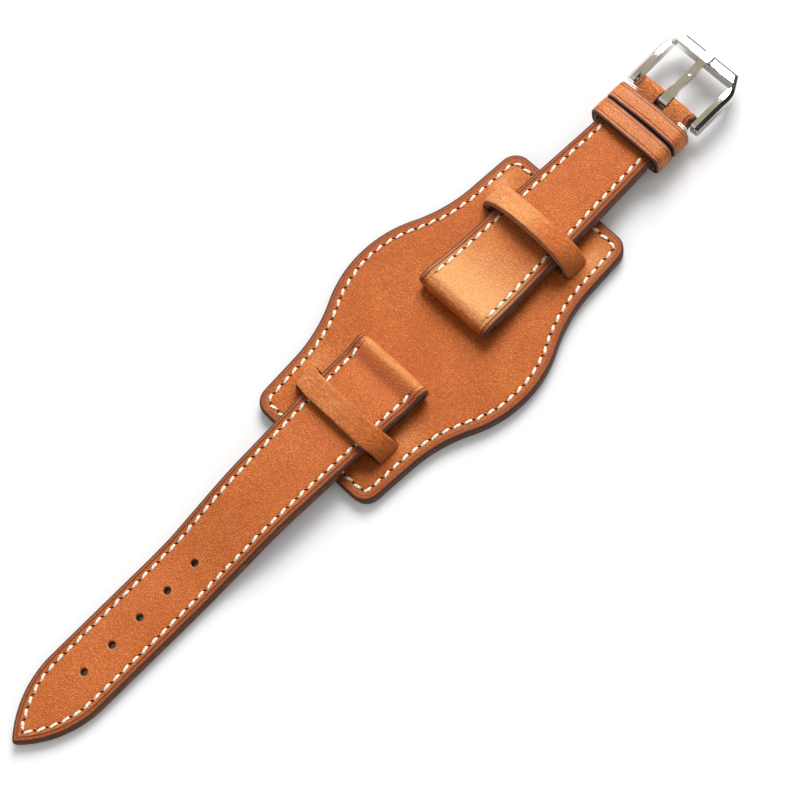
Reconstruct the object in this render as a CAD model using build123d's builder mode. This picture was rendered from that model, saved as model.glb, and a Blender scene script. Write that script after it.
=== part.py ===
from build123d import *
import os
from math import acos, atan, atan2, degrees, radians, tan

# A bund watch strap: a broad leather pad that lies on the wrist, two strap halves that are
# threaded under bridges cut from the pad's own top leather, two keepers and a pin buckle.
# Lengths are millimetres and angles degrees. +X runs along the strap towards the buckle,
# +Z is up, and the origin is the middle of the pad's wrist face.

# Pad
pad_half_length = 40.3
pad_half_width = 25.1
pad_shoulder_half_width = 18.0
pad_middle_radius = 28.2
pad_shoulder_radius = 35.2
pad_side_taper = 3.3
pad_corner_radius = 4.0
pad_top_thickness = 1.4
pad_lining_thickness = 1.4
pad_edge_round = 0.45
pad_seam_inset = 2.3
pad_stitch_count = 88

# Bridges, each a strip slit from the pad's top leather and lifted over a strap half
bridge_middle = 28.5
bridge_width = 5.4
bridge_foot_clearance = 2.8
bridge_root = 1.7
bridge_crown_clearance = 1.3
bridge_clearance = 0.2
bridge_bend_radius = 1.7
buckle_bridge_lean = 1.9
slit_width = 0.25

# Thread
stitch_length = 1.7
stitch_width = 0.55
stitch_slant = 14.0
thread_rise = 0.2
thread_seat = 0.02

# Both strap halves
lug_width = 20.0
buckle_width = 16.0
outer_thickness = 1.1
lining_thickness = 1.1
lug_core_thickness = 1.2
strap_lift = 0.5
lug_bore_radius = 0.9
lug_eye_drop = 0.2
lug_flap_length = 9.0
roll_run_out = 2.0
fold_corner_radius = 0.7
seam_inset = 2.1
first_stitch_from_fold = 4.9

# Tail half
tail_fold_distance = 13.1
tail_length = 112.9
tail_parallel_length = 52.7
tail_tip_length = 18.3
tail_tip_core_thickness = 0.2
tail_level_length = 42.5
tail_slope_length = 19.7
tail_bend_radius = 70.0
tail_stitch_count = 88
hole_count = 5
hole_pitch = 8.0
hole_radius = 0.9
tip_to_first_hole = 20.6

# Buckle half
buckle_fold_distance = 3.2
buckle_half_length = 68.3
buckle_parallel_length = 17.7
buckle_core_thickness = 0.5
bar_flap_length = 14.0
buckle_stitch_count = 58
last_stitch_from_bar_end = 15.0
tongue_notch_width = 3.0
tongue_notch_depth = 4.6

# Keepers
keeper_width = 4.65
keeper_thickness = 1.35
keeper_side_clearance = 0.6
keeper_top_clearance = 0.35
keeper_bottom_clearance = 0.25
keeper_corner_radius = 1.5
keeper_edge_break = 0.25
keeper_gap = 0.45
fixed_keeper_from_bar_end = 5.2

# Threads that wrap the strap's edges beside the bar
wrap_from_bar_end = 4.5
wrap_width = 0.8
wrap_thickness = 0.3
wrap_reach = 1.7

# Spring bar of the buckle
bar_radius = 0.75
bar_bore_radius = 0.5
bar_half_length = 6.8
pin_body_clearance = 0.04
pin_inner_end = 3.5
pin_shoulder_radius = 0.7
pin_shoulder_thickness = 0.3
pin_shoulder_gap = 0.1
pin_tip_radius = 0.42
pin_tip_length = 0.95
pin_socket_clearance = 0.04
pin_socket_depth = 1.1
spring_wall = 0.18
running_clearance = 0.05
spring_end_gap = 0.02

# Buckle frame
frame_side_clearance = 0.35
frame_arm_width = 1.9
frame_arm_radius = 1.6
frame_rear_reach = 1.2
frame_reach = 15.0
frame_front_width = 2.95
frame_corner_setback = 4.4
frame_corner_inset = 2.7
frame_corner_blend = 5.0
frame_front_drop = 0.55
frame_front_thickness = 2.6
frame_crown = 0.25
frame_outer_bevel = 0.75
frame_inner_bevel = 0.25

# Tongue
tongue_thickness = 1.0
tongue_eye_width = 2.4
tongue_eye_length = 2.5
tongue_waist_width = 1.7
tongue_tip_width = 2.1
tongue_tip_overhang = 0.35
tongue_tip_drop = 0.25
tongue_hump = 0.35
tongue_bend_radius = 2.5
tongue_seat_clearance = 0.05
tongue_shoulder_share = 0.28
tongue_hump_share = 0.66

# Length by which every cut and every intersecting block runs past the piece
overrun = 20.0

# Heights and places that follow from the sizes above
pad_top = pad_lining_thickness + pad_top_thickness
strap_bottom = pad_top + strap_lift
lug_eye_radius = lug_bore_radius + outer_thickness
lug_eye_height = strap_bottom - lug_eye_drop + lug_eye_radius
lug_thickness = outer_thickness + lug_core_thickness + lining_thickness
lug_strap_top = strap_bottom + lug_thickness
lug_half_width = lug_width / 2
buckle_half_width = buckle_width / 2
bridge_underside = lug_strap_top + thread_rise + thread_seat + bridge_clearance
bridge_line_height = bridge_underside + pad_top_thickness / 2
bridge_root_height = pad_lining_thickness + pad_top_thickness / 2
bridge_crown_half_span = lug_half_width + bridge_crown_clearance
bridge_foot_half_span = lug_half_width + bridge_foot_clearance

tail_fold_x = -tail_fold_distance
tail_eye_x = tail_fold_x - lug_eye_radius
tail_tip_x = tail_fold_x - tail_length
tail_tip_start_x = tail_tip_x + tail_tip_length
tail_parallel_start_x = tail_tip_x + tail_parallel_length
tail_drop_start_x = tail_fold_x - tail_level_length
tail_drop_end_x = tail_drop_start_x - tail_slope_length
tail_tip_radius = (tail_tip_length**2 + buckle_half_width**2) / (2 * buckle_half_width)
hole_places = [tail_tip_x + tip_to_first_hole + i * hole_pitch for i in range(hole_count)]

buckle_fold_x = buckle_fold_distance
buckle_eye_x = buckle_fold_x + lug_eye_radius
bar_eye_bore = bar_radius + running_clearance
bar_eye_radius = bar_eye_bore + outer_thickness
bar_end_x = buckle_fold_x + buckle_half_length
bar_x = bar_end_x - bar_eye_radius
bar_end_thickness = outer_thickness + buckle_core_thickness + lining_thickness
bar_height = strap_bottom + bar_end_thickness / 2
buckle_parallel_start_x = bar_end_x - buckle_parallel_length

frame_inner_half_width = buckle_half_width + frame_side_clearance
frame_outer_half_width = frame_inner_half_width + frame_arm_width
frame_front_x = bar_x + frame_reach
frame_front_inner_x = frame_front_x - frame_front_width
frame_arm_top = bar_height + frame_arm_radius
frame_front_top = frame_arm_top - frame_front_drop


def turned_line(points, radius):
    """Side view line through the points, with its inner corners rounded."""
    return FilletPolyline(*points, radius=radius) if len(points) > 2 else Line(*points)


def tail_line(rise_at_fold, rise_at_tip):
    """Points of a line along the tail half, at a height over its underside that changes evenly."""
    stations = [
        (tail_eye_x, strap_bottom),
        (tail_drop_start_x, strap_bottom),
        (tail_drop_end_x, 0),
        (tail_tip_x, 0),
    ]
    points = []
    for x, underside in stations:
        share = (x - tail_eye_x) / (tail_tip_x - tail_eye_x)
        points.append((x, underside + rise_at_fold + (rise_at_tip - rise_at_fold) * share))
    return points


def buckle_line(rise_at_fold, rise_at_bar):
    """Points of a line along the buckle half, from the lug roll to the bar roll."""
    return [(buckle_eye_x, strap_bottom + rise_at_fold), (bar_x, strap_bottom + rise_at_bar)]


def layer_face(lower, upper, radius):
    """Side view face of one layer between two lines."""
    with BuildSketch(Plane.XZ) as layer:
        with BuildLine():
            low = turned_line(lower, radius)
            high = turned_line(upper, radius)
            Line(low @ 0, high @ 0)
            Line(low @ 1, high @ 1)
        make_face()
    return layer.sketch_local


def arch_face(crown_height):
    """End view face of a bridge: two short roots under the pad's grain, two legs and a level crown."""
    root_half_span = bridge_foot_half_span + bridge_root
    with BuildSketch(Plane.YZ) as arch:
        with BuildLine():
            FilletPolyline(
                (-root_half_span, bridge_root_height),
                (-bridge_foot_half_span, bridge_root_height),
                (-bridge_crown_half_span, crown_height),
                (bridge_crown_half_span, crown_height),
                (bridge_foot_half_span, bridge_root_height),
                (root_half_span, bridge_root_height),
                radius=bridge_bend_radius,
            )
        trace(line_width=pad_top_thickness)
    return arch.sketch_local


def height_at(line, x):
    """Height of a side view line above the table at a place along the strap, found by halving."""
    low_share = 0.0
    high_share = 1.0
    runs_up = (line @ 1).X > (line @ 0).X
    for _ in range(24):
        middle_share = (low_share + high_share) / 2
        if ((line @ middle_share).X < x) == runs_up:
            low_share = middle_share
        else:
            high_share = middle_share
    return (line @ low_share).Z, line % low_share


def stitch_places(seam, count, top_line=None, first_x=None, last_x=None):
    """Places of evenly spaced slanted stitches along a seam, on a level or a side view line."""
    places = []
    for i in range(count):
        share = (i + 0.5) / count
        point = seam @ share
        way = seam % share
        turn = degrees(atan2(way.Y, way.X)) + stitch_slant
        if first_x is not None and point.X > first_x:
            continue
        if last_x is not None and point.X < last_x:
            continue
        if top_line is None:
            places.append(Location((point.X, point.Y, pad_top + thread_seat), (0, 0, turn)))
        else:
            height, slope = height_at(top_line, point.X)
            tilt = -degrees(atan(slope.Z / slope.X))
            seat = Location((point.X, point.Y, height + thread_seat))
            places.append(seat * Location((0, 0, 0), (0, tilt, 0)) * Location((0, 0, 0), (0, 0, turn)))
    return places


def lay_stitches(places):
    """One short bar of thread at each place, added to the current part."""
    with Locations(*places):
        Box(stitch_length, stitch_width, thread_rise, align=(Align.CENTER, Align.CENTER, Align.MIN))


def finish(piece, name):
    """Names a piece and writes its file."""
    piece.part.label = name
    export_step(piece.part, f"parts/{name}.step")


os.makedirs("parts", exist_ok=True)

# Plan outline of the pad: a convex arc at the middle runs into a hollow shoulder, then a
# tapering side and a rounded corner; one quarter is drawn and mirrored twice.
radius_sum = pad_middle_radius + pad_shoulder_radius
shoulder_turn = degrees(acos(1 - (pad_half_width - pad_shoulder_half_width) / radius_sum))

with BuildLine() as pad_edge:
    middle_arc = JernArc(
        start=(0, pad_half_width), tangent=(1, 0), radius=pad_middle_radius, arc_size=-shoulder_turn
    )
    shoulder_arc = JernArc(
        start=middle_arc @ 1,
        tangent=middle_arc % 1,
        radius=pad_shoulder_radius,
        arc_size=shoulder_turn - pad_side_taper,
    )
    side_run = pad_half_length - (shoulder_arc @ 1).X
    corner = (pad_half_length, (shoulder_arc @ 1).Y - side_run * tan(radians(pad_side_taper)))
    FilletPolyline(shoulder_arc @ 1, corner, (pad_half_length, 0), radius=pad_corner_radius)
    mirror(about=Plane.XZ)
    mirror(about=Plane.YZ)

pad_wire = Wire(pad_edge.edges())
pad_seam = pad_wire.offset_2d(-pad_seam_inset)

# Pad lining, the wrist side of the pad
with BuildPart() as pad_lining:
    with BuildSketch(Plane.XY):
        make_face(pad_wire.edges())
    extrude(amount=pad_lining_thickness)
    fillet(pad_lining.faces().sort_by(Axis.Z)[0].edges(), radius=pad_edge_round)
finish(pad_lining, "pad_lining")

# Pad top leather with its two integral bridges: the strip between two slits is lifted into an
# arch over the strap half, and stays one piece with the leather at both feet. The one on the
# buckle's side leans: its edge towards the tail stands higher.
with BuildPart() as pad_top_leather:
    with BuildSketch(Plane.XY.offset(pad_lining_thickness)):
        make_face(pad_wire.edges())
    extrude(amount=pad_top_thickness)
    fillet(pad_top_leather.faces().sort_by(Axis.Z)[-1].edges(), radius=pad_edge_round)
    with BuildSketch(Plane.XY.offset(pad_lining_thickness)):
        with Locations((-bridge_middle, 0), (bridge_middle, 0)):
            Rectangle(bridge_width + 2 * slit_width, 2 * bridge_foot_half_span)
    extrude(amount=overrun, mode=Mode.SUBTRACT)
    with BuildSketch(Plane.YZ.offset(-bridge_middle - bridge_width / 2)):
        add(arch_face(bridge_line_height))
    extrude(amount=bridge_width)
    with BuildSketch(Plane.YZ.offset(bridge_middle - bridge_width / 2)):
        add(arch_face(bridge_line_height + buckle_bridge_lean))
    with BuildSketch(Plane.YZ.offset(bridge_middle + bridge_width / 2)):
        add(arch_face(bridge_line_height))
    loft()
finish(pad_top_leather, "pad_top_leather")

with BuildPart() as pad_stitching:
    lay_stitches(stitch_places(pad_seam, pad_stitch_count))
finish(pad_stitching, "pad_stitching")

# Plan outline of the tail half: the fold at the lugs, the taper, the parallel stretch with the
# holes and a tip of two arcs that start along the edges.
with BuildSketch(Plane.XY) as tail_outline:
    with BuildLine() as tail_edge:
        upper = Polyline(
            (tail_fold_x, 0),
            (tail_fold_x, lug_half_width),
            (tail_parallel_start_x, buckle_half_width),
            (tail_tip_start_x, buckle_half_width),
        )
        RadiusArc(upper @ 1, (tail_tip_x, 0), -tail_tip_radius)
        mirror(about=Plane.XZ)
    make_face()
    fillet(tail_outline.vertices().group_by(Axis.X)[-1], radius=fold_corner_radius)

tail_seam = tail_outline.wires()[0].offset_2d(-seam_inset)

# Rises of the layer boundaries over the strap's underside, at the fold and at the far end
core_bottom = lining_thickness
core_top = lining_thickness + lug_core_thickness
tail_core_top = lining_thickness + tail_tip_core_thickness
strap_top = core_top + outer_thickness
tail_strap_top = tail_core_top + outer_thickness
tail_layers = {
    "underside": tail_line(0, 0),
    "lining_top": tail_line(core_bottom, core_bottom),
    "core_top": tail_line(core_top, tail_core_top),
    "strap_top": tail_line(strap_top, tail_strap_top),
}

with BuildLine(Plane.XZ) as tail_top_line:
    FilletPolyline(*tail_layers["strap_top"], radius=tail_bend_radius)

# Outer leather of the tail half: it runs over the top, rolls round the lug bar and comes back
# under the strap as a short flap.
with BuildPart() as tail_outer:
    with BuildSketch(Plane.XZ):
        add(layer_face(tail_layers["core_top"], tail_layers["strap_top"], tail_bend_radius))
        with Locations((tail_eye_x, lug_eye_height)):
            Circle(lug_eye_radius)
        with BuildLine():
            Polyline(
                (tail_eye_x, lug_eye_height + lug_eye_radius),
                (tail_eye_x - roll_run_out, lug_strap_top),
                (tail_eye_x - roll_run_out, lug_strap_top - outer_thickness / 2),
                (tail_eye_x, lug_strap_top - outer_thickness / 2),
                close=True,
            )
        make_face()
        with Locations((tail_eye_x - lug_flap_length / 2, strap_bottom + lining_thickness / 2)):
            Rectangle(lug_flap_length, lining_thickness)
        with Locations((tail_eye_x, lug_eye_height)):
            Circle(lug_bore_radius, mode=Mode.SUBTRACT)
    extrude(amount=overrun, both=True)
    with BuildSketch(Plane.XY.offset(-overrun)):
        add(tail_outline.sketch)
    extrude(amount=2 * overrun, mode=Mode.INTERSECT)
    with Locations(*[(x, 0, overrun) for x in hole_places]):
        Hole(hole_radius)
finish(tail_outer, "tail_outer")

# Filler of the tail half, skived from the lugs to the tip
with BuildPart() as tail_core:
    with BuildSketch(Plane.XZ):
        add(layer_face(tail_layers["lining_top"], tail_layers["core_top"], tail_bend_radius))
        with Locations((tail_eye_x, lug_eye_height)):
            Circle(lug_eye_radius, mode=Mode.SUBTRACT)
    extrude(amount=overrun, both=True)
    with BuildSketch(Plane.XY.offset(-overrun)):
        add(tail_outline.sketch)
    extrude(amount=2 * overrun, mode=Mode.INTERSECT)
    with Locations(*[(x, 0, overrun) for x in hole_places]):
        Hole(hole_radius)
finish(tail_core, "tail_core")

# Lining of the tail half, which starts where the folded flap ends
with BuildPart() as tail_lining:
    with BuildSketch(Plane.XZ):
        add(layer_face(tail_layers["underside"], tail_layers["lining_top"], tail_bend_radius))
        with Locations((tail_eye_x - lug_flap_length, strap_bottom)):
            Rectangle(
                lug_flap_length + overrun,
                2 * lining_thickness + overrun,
                align=(Align.MIN, Align.CENTER),
                mode=Mode.SUBTRACT,
            )
    extrude(amount=overrun, both=True)
    with BuildSketch(Plane.XY.offset(-overrun)):
        add(tail_outline.sketch)
    extrude(amount=2 * overrun, mode=Mode.INTERSECT)
    with Locations(*[(x, 0, overrun) for x in hole_places]):
        Hole(hole_radius)
finish(tail_lining, "tail_lining")

with BuildPart() as tail_stitching:
    lay_stitches(
        stitch_places(
            tail_seam,
            tail_stitch_count,
            tail_top_line.wires()[0],
            first_x=tail_fold_x - first_stitch_from_fold,
        )
    )
finish(tail_stitching, "tail_stitching")

# Plan outline of the buckle half
with BuildSketch(Plane.XY) as buckle_outline:
    with BuildLine():
        Polyline(
            (buckle_fold_x, -lug_half_width),
            (buckle_fold_x, lug_half_width),
            (buckle_parallel_start_x, buckle_half_width),
            (bar_end_x, buckle_half_width),
            (bar_end_x, -buckle_half_width),
            (buckle_parallel_start_x, -buckle_half_width),
            close=True,
        )
    make_face()
    fillet(buckle_outline.vertices().group_by(Axis.X)[0], radius=fold_corner_radius)

buckle_seam = buckle_outline.wires()[0].offset_2d(-seam_inset)
bar_core_top = lining_thickness + buckle_core_thickness
bar_strap_top = bar_core_top + outer_thickness
buckle_layers = {
    "underside": buckle_line(0, 0),
    "lining_top": buckle_line(core_bottom, core_bottom),
    "core_top": buckle_line(core_top, bar_core_top),
    "strap_top": buckle_line(strap_top, bar_strap_top),
}

# Outer leather of the buckle half: rolled round the lug bar at one end and round the buckle's
# bar at the other, where a notch lets the tongue through.
with BuildPart() as buckle_half_outer:
    with BuildSketch(Plane.XZ):
        add(layer_face(buckle_layers["core_top"], buckle_layers["strap_top"], tail_bend_radius))
        with Locations((buckle_eye_x, lug_eye_height)):
            Circle(lug_eye_radius)
        with Locations((bar_x, bar_height)):
            Circle(bar_eye_radius)
        with BuildLine():
            Polyline(
                (buckle_eye_x, lug_eye_height + lug_eye_radius),
                (buckle_eye_x + roll_run_out, lug_strap_top),
                (buckle_eye_x + roll_run_out, lug_strap_top - outer_thickness / 2),
                (buckle_eye_x, lug_strap_top - outer_thickness / 2),
                close=True,
            )
        make_face()
        with Locations((buckle_eye_x + lug_flap_length / 2, strap_bottom + lining_thickness / 2)):
            Rectangle(lug_flap_length, lining_thickness)
        with Locations((bar_x - bar_flap_length / 2, strap_bottom + lining_thickness / 2)):
            Rectangle(bar_flap_length, lining_thickness)
        with Locations((buckle_eye_x, lug_eye_height)):
            Circle(lug_bore_radius, mode=Mode.SUBTRACT)
        with Locations((bar_x, bar_height)):
            Circle(bar_eye_bore, mode=Mode.SUBTRACT)
    extrude(amount=overrun, both=True)
    with BuildSketch(Plane.XY.offset(-overrun)):
        add(buckle_outline.sketch)
    extrude(amount=2 * overrun, mode=Mode.INTERSECT)
    with BuildSketch(Plane.XY.offset(-overrun)):
        with Locations((bar_end_x - tongue_notch_depth, 0)):
            Rectangle(overrun, tongue_notch_width, align=(Align.MIN, Align.CENTER))
        with Locations((bar_end_x - tongue_notch_depth, 0)):
            Circle(tongue_notch_width / 2)
    extrude(amount=2 * overrun, mode=Mode.SUBTRACT)
finish(buckle_half_outer, "buckle_half_outer")

# Filler of the buckle half, between the two rolls
with BuildPart() as buckle_half_core:
    with BuildSketch(Plane.XZ):
        add(layer_face(buckle_layers["lining_top"], buckle_layers["core_top"], tail_bend_radius))
        with Locations((buckle_eye_x, lug_eye_height)):
            Circle(lug_eye_radius, mode=Mode.SUBTRACT)
        with Locations((bar_x, bar_height)):
            Circle(bar_eye_radius, mode=Mode.SUBTRACT)
    extrude(amount=overrun, both=True)
    with BuildSketch(Plane.XY.offset(-overrun)):
        add(buckle_outline.sketch)
    extrude(amount=2 * overrun, mode=Mode.INTERSECT)
    with BuildSketch(Plane.XY.offset(-overrun)):
        with Locations((bar_end_x - tongue_notch_depth, 0)):
            Circle(tongue_notch_width / 2)
    extrude(amount=2 * overrun, mode=Mode.SUBTRACT)
finish(buckle_half_core, "buckle_half_core")

# Lining of the buckle half, between the two folded flaps
with BuildPart() as buckle_half_lining:
    lining_start_x = buckle_eye_x + lug_flap_length
    lining_end_x = bar_x - bar_flap_length
    with BuildSketch(Plane.XY.offset(strap_bottom)):
        add(buckle_outline.sketch)
        with Locations(((lining_start_x + lining_end_x) / 2, 0)):
            Rectangle(lining_end_x - lining_start_x, 2 * lug_width, mode=Mode.INTERSECT)
    extrude(amount=lining_thickness)
finish(buckle_half_lining, "buckle_half_lining")

with BuildLine(Plane.XZ) as buckle_top_line:
    Line(*buckle_layers["strap_top"])

with BuildPart() as buckle_half_stitching:
    both_rows = stitch_places(
        buckle_seam,
        buckle_stitch_count,
        buckle_top_line.wires()[0],
        first_x=bar_end_x - last_stitch_from_bar_end,
        last_x=buckle_fold_x + first_stitch_from_fold,
    )
    lay_stitches(both_rows)
finish(buckle_half_stitching, "buckle_half_stitching")

# Threads that wrap the strap's two edges beside the bar and hold the fold shut
with BuildPart() as bar_wraps:
    wrap_x = bar_end_x - wrap_from_bar_end
    wrap_height, _ = height_at(buckle_top_line.wires()[0], wrap_x - wrap_width / 2)
    for side in (-1, 1):
        with BuildSketch(Plane.YZ.offset(wrap_x - wrap_width / 2)):
            with Locations((side * (buckle_half_width + wrap_thickness), (strap_bottom + wrap_height) / 2)):
                Rectangle(
                    2 * (wrap_reach + wrap_thickness),
                    wrap_height - strap_bottom + 2 * (wrap_thickness + thread_seat),
                )
                Rectangle(
                    2 * (wrap_reach + wrap_thickness) + overrun,
                    wrap_height - strap_bottom + 2 * thread_seat,
                    mode=Mode.SUBTRACT,
                )
            with Locations((side * (buckle_half_width + thread_seat + wrap_thickness / 2),
                            (strap_bottom + wrap_height) / 2)):
                Rectangle(wrap_thickness, wrap_height - strap_bottom + 2 * (wrap_thickness + thread_seat))
            with Locations((side * (buckle_half_width + thread_seat + wrap_thickness), 0)):
                Rectangle(
                    overrun,
                    2 * overrun,
                    align=(Align.MIN if side > 0 else Align.MAX, Align.CENTER),
                    mode=Mode.SUBTRACT,
                )
        extrude(amount=wrap_width)
finish(bar_wraps, "bar_wraps")

# Keepers: closed leather loops round the strap with broken edges
keeper_inner_half_width = buckle_half_width + keeper_side_clearance
keeper_inner_bottom = strap_bottom - keeper_bottom_clearance
fixed_keeper_x = bar_end_x - fixed_keeper_from_bar_end - keeper_width
floating_keeper_x = fixed_keeper_x - keeper_gap - keeper_width


def keeper_loop(start_x, inner_bottom, inner_top):
    """Side-on loop round the strap, drawn across it and carried along it."""
    inner_height = inner_top - inner_bottom
    middle = (inner_top + inner_bottom) / 2
    with BuildPart() as loop:
        with BuildSketch(Plane.YZ.offset(start_x)):
            with Locations((0, middle)):
                RectangleRounded(
                    2 * (keeper_inner_half_width + keeper_thickness),
                    inner_height + 2 * keeper_thickness,
                    keeper_corner_radius,
                )
                RectangleRounded(
                    2 * keeper_inner_half_width,
                    inner_height,
                    keeper_corner_radius / 3,
                    mode=Mode.SUBTRACT,
                )
        extrude(amount=keeper_width)
        end_faces = loop.faces().filter_by(Axis.X)
        chamfer([edge for face in end_faces for edge in face.outer_wire().edges()], keeper_edge_break)
    return loop


loop_top, _ = height_at(buckle_top_line.wires()[0], floating_keeper_x)
keeper_inner_top = loop_top + thread_rise + thread_seat + keeper_top_clearance
floating_keeper = keeper_loop(floating_keeper_x, keeper_inner_bottom, keeper_inner_top)
finish(floating_keeper, "floating_keeper")

fixed_keeper = keeper_loop(fixed_keeper_x, strap_bottom, keeper_inner_top)
finish(fixed_keeper, "fixed_keeper")

# Buckle frame: an angular bow with cut front corners, square arm ends and bevelled, polished
# edges, cut from its plan outline and its side view
frame_middle_x = (bar_x + frame_front_x) / 2
frame_rear_x = bar_x - frame_rear_reach
frame_low_start = bar_height - frame_arm_radius
frame_low_end = frame_front_top - frame_front_thickness

with BuildLine(Plane.XZ) as frame_top_line:
    ThreePointArc(
        (bar_x, frame_arm_top),
        (frame_middle_x, (frame_arm_top + frame_front_top) / 2 + frame_crown),
        (frame_front_x, frame_front_top),
    )


def bevel_edges(frame):
    """Edges round the outside of the frame's top face, and its inside edge along the front bar."""
    top_face = frame.faces().sort_by(lambda face: face.center().Z)[-1]
    long_edges = top_face.outer_wire().edges().filter_by(lambda edge: edge.center().X > bar_x)
    outside = long_edges.filter_by(
        lambda edge: abs(edge.center().Y) > frame_inner_half_width + frame_inner_bevel
        or edge.center().X > frame_front_inner_x + frame_inner_bevel
    )
    front_inside = long_edges.filter_by(
        lambda edge: abs(edge.center().Y) < frame_inner_bevel
        and edge.center().X < frame_front_inner_x + frame_inner_bevel
    )
    return outside, front_inside


with BuildPart() as buckle_frame:
    with BuildSketch(Plane.XY) as frame_plan:
        with BuildLine():
            Polyline(
                (frame_rear_x, frame_inner_half_width),
                (frame_rear_x, frame_outer_half_width),
                (frame_front_x - frame_corner_setback, frame_outer_half_width),
                (frame_front_x, frame_outer_half_width - frame_corner_inset),
                (frame_front_x, 0),
            )
            Polyline(
                (frame_rear_x, frame_inner_half_width),
                (frame_front_inner_x, frame_inner_half_width),
                (frame_front_inner_x, 0),
            )
            mirror(about=Plane.XZ)
        make_face()
        corner_x = frame_front_x - frame_corner_setback
        corners = frame_plan.vertices().filter_by(lambda corner: abs(corner.X - corner_x) < running_clearance)
        fillet(corners, radius=frame_corner_blend)
    extrude(amount=overrun)
    with BuildSketch(Plane.XZ):
        with BuildLine():
            ThreePointArc(
                (bar_x, frame_arm_top),
                (frame_middle_x, (frame_arm_top + frame_front_top) / 2 + frame_crown),
                (frame_front_x, frame_front_top),
            )
            Line((frame_front_x, frame_front_top), (frame_front_x, frame_low_end))
            ThreePointArc(
                (frame_front_x, frame_low_end),
                (frame_middle_x, (frame_low_start + frame_low_end) / 2 + frame_crown),
                (bar_x, frame_low_start),
            )
            ThreePointArc(
                (bar_x, frame_low_start),
                (bar_x - frame_arm_radius, bar_height),
                (bar_x, frame_arm_top),
            )
        make_face()
    extrude(amount=overrun, both=True, mode=Mode.INTERSECT)
    outer_edges, _ = bevel_edges(buckle_frame)
    chamfer(outer_edges, frame_outer_bevel)
    _, front_inner_edges = bevel_edges(buckle_frame)
    chamfer(front_inner_edges, frame_inner_bevel)
    for side in (-1, 1):
        socket_mouth = Plane((bar_x, side * frame_inner_half_width, bar_height), z_dir=(0, side, 0))
        with BuildSketch(socket_mouth):
            Circle(pin_tip_radius + pin_socket_clearance)
        extrude(amount=pin_socket_depth, mode=Mode.SUBTRACT)
finish(buckle_frame, "buckle_frame")

# Spring bar of the buckle: a tube, two plungers with shoulders, and the spring between them
bar_plane = Plane((bar_x, 0, bar_height), x_dir=(1, 0, 0), z_dir=(0, 1, 0))
pin_body_radius = bar_bore_radius - pin_body_clearance

with BuildPart() as bar_tube:
    with BuildSketch(bar_plane):
        Circle(bar_radius)
        Circle(bar_bore_radius, mode=Mode.SUBTRACT)
    extrude(amount=bar_half_length, both=True)
finish(bar_tube, "bar_tube")

pin_tip_end = frame_inner_half_width + pin_tip_length
shoulder_end = frame_inner_half_width - pin_shoulder_gap
shoulder_start = shoulder_end - pin_shoulder_thickness
for name, side in (("bar_pin_left", 1), ("bar_pin_right", -1)):
    with BuildPart() as pin:
        with BuildSketch(Plane((bar_x, side * pin_inner_end, bar_height), z_dir=(0, side, 0))):
            Circle(pin_body_radius)
        extrude(amount=shoulder_start - pin_inner_end)
        with BuildSketch(Plane((bar_x, side * shoulder_start, bar_height), z_dir=(0, side, 0))):
            Circle(pin_shoulder_radius)
        extrude(amount=pin_shoulder_thickness)
        with BuildSketch(Plane((bar_x, side * shoulder_end, bar_height), z_dir=(0, side, 0))):
            Circle(pin_tip_radius)
        extrude(amount=pin_tip_end - shoulder_end)
    finish(pin, name)

with BuildPart() as bar_spring:
    with BuildSketch(bar_plane):
        Circle(pin_body_radius)
        Circle(pin_body_radius - spring_wall, mode=Mode.SUBTRACT)
    extrude(amount=pin_inner_end - spring_end_gap, both=True)
finish(bar_spring, "bar_spring")

# Tongue: rolled round the bar, humped over the opening and resting across the front of the frame
tongue_eye_radius = bar_eye_bore + tongue_thickness
tongue_root_height = bar_height + bar_eye_bore + tongue_thickness / 2
tongue_lift = tongue_seat_clearance + tongue_thickness / 2
tongue_rest_height = height_at(frame_top_line.wires()[0], frame_front_inner_x)[0] + tongue_lift
tongue_bend_x = frame_front_x - frame_outer_bevel
tongue_bend_height = height_at(frame_top_line.wires()[0], tongue_bend_x)[0] + tongue_lift
tongue_tip_x = frame_front_x + tongue_tip_overhang
tongue_run = frame_front_inner_x - bar_x

with BuildPart() as tongue:
    with BuildSketch(Plane.XZ):
        with BuildLine():
            FilletPolyline(
                (bar_x, tongue_root_height),
                (bar_x + tongue_run * tongue_shoulder_share, tongue_root_height + tongue_hump),
                (bar_x + tongue_run * tongue_hump_share, tongue_root_height + tongue_hump),
                (frame_front_inner_x, tongue_rest_height),
                (tongue_bend_x, tongue_bend_height),
                (tongue_tip_x, tongue_bend_height - tongue_tip_drop),
                radius=tongue_bend_radius,
            )
        trace(line_width=tongue_thickness)
        with Locations((bar_x, bar_height)):
            Circle(tongue_eye_radius)
            Circle(bar_eye_bore, mode=Mode.SUBTRACT)
    extrude(amount=overrun, both=True)
    with BuildSketch(Plane.XY):
        with BuildLine():
            tongue_upper = Polyline(
                (bar_x - tongue_eye_radius, 0),
                (bar_x - tongue_eye_radius, tongue_eye_width / 2),
                (bar_x + tongue_eye_length, tongue_eye_width / 2),
                (bar_x + tongue_eye_length + tongue_thickness, tongue_waist_width / 2),
                (tongue_tip_x - tongue_tip_width / 2, tongue_tip_width / 2),
            )
            RadiusArc(tongue_upper @ 1, (tongue_tip_x, 0), tongue_tip_width / 2)
            mirror(about=Plane.XZ)
        make_face()
    extrude(amount=overrun, mode=Mode.INTERSECT)
finish(tongue, "tongue")
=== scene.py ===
"""Bund watch strap in cognac leather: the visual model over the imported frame.

Lengths are millimetres until a mesh is stored, and the axes are the frame's: +X along the strap towards
the buckle, +Y across it, +Z up, origin in the middle of the pad's wrist face.
"""

import logging
from collections.abc import Callable
from dataclasses import dataclass, field
from enum import Enum

import bpy
import numpy as np
from mathutils import Matrix, Vector

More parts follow.
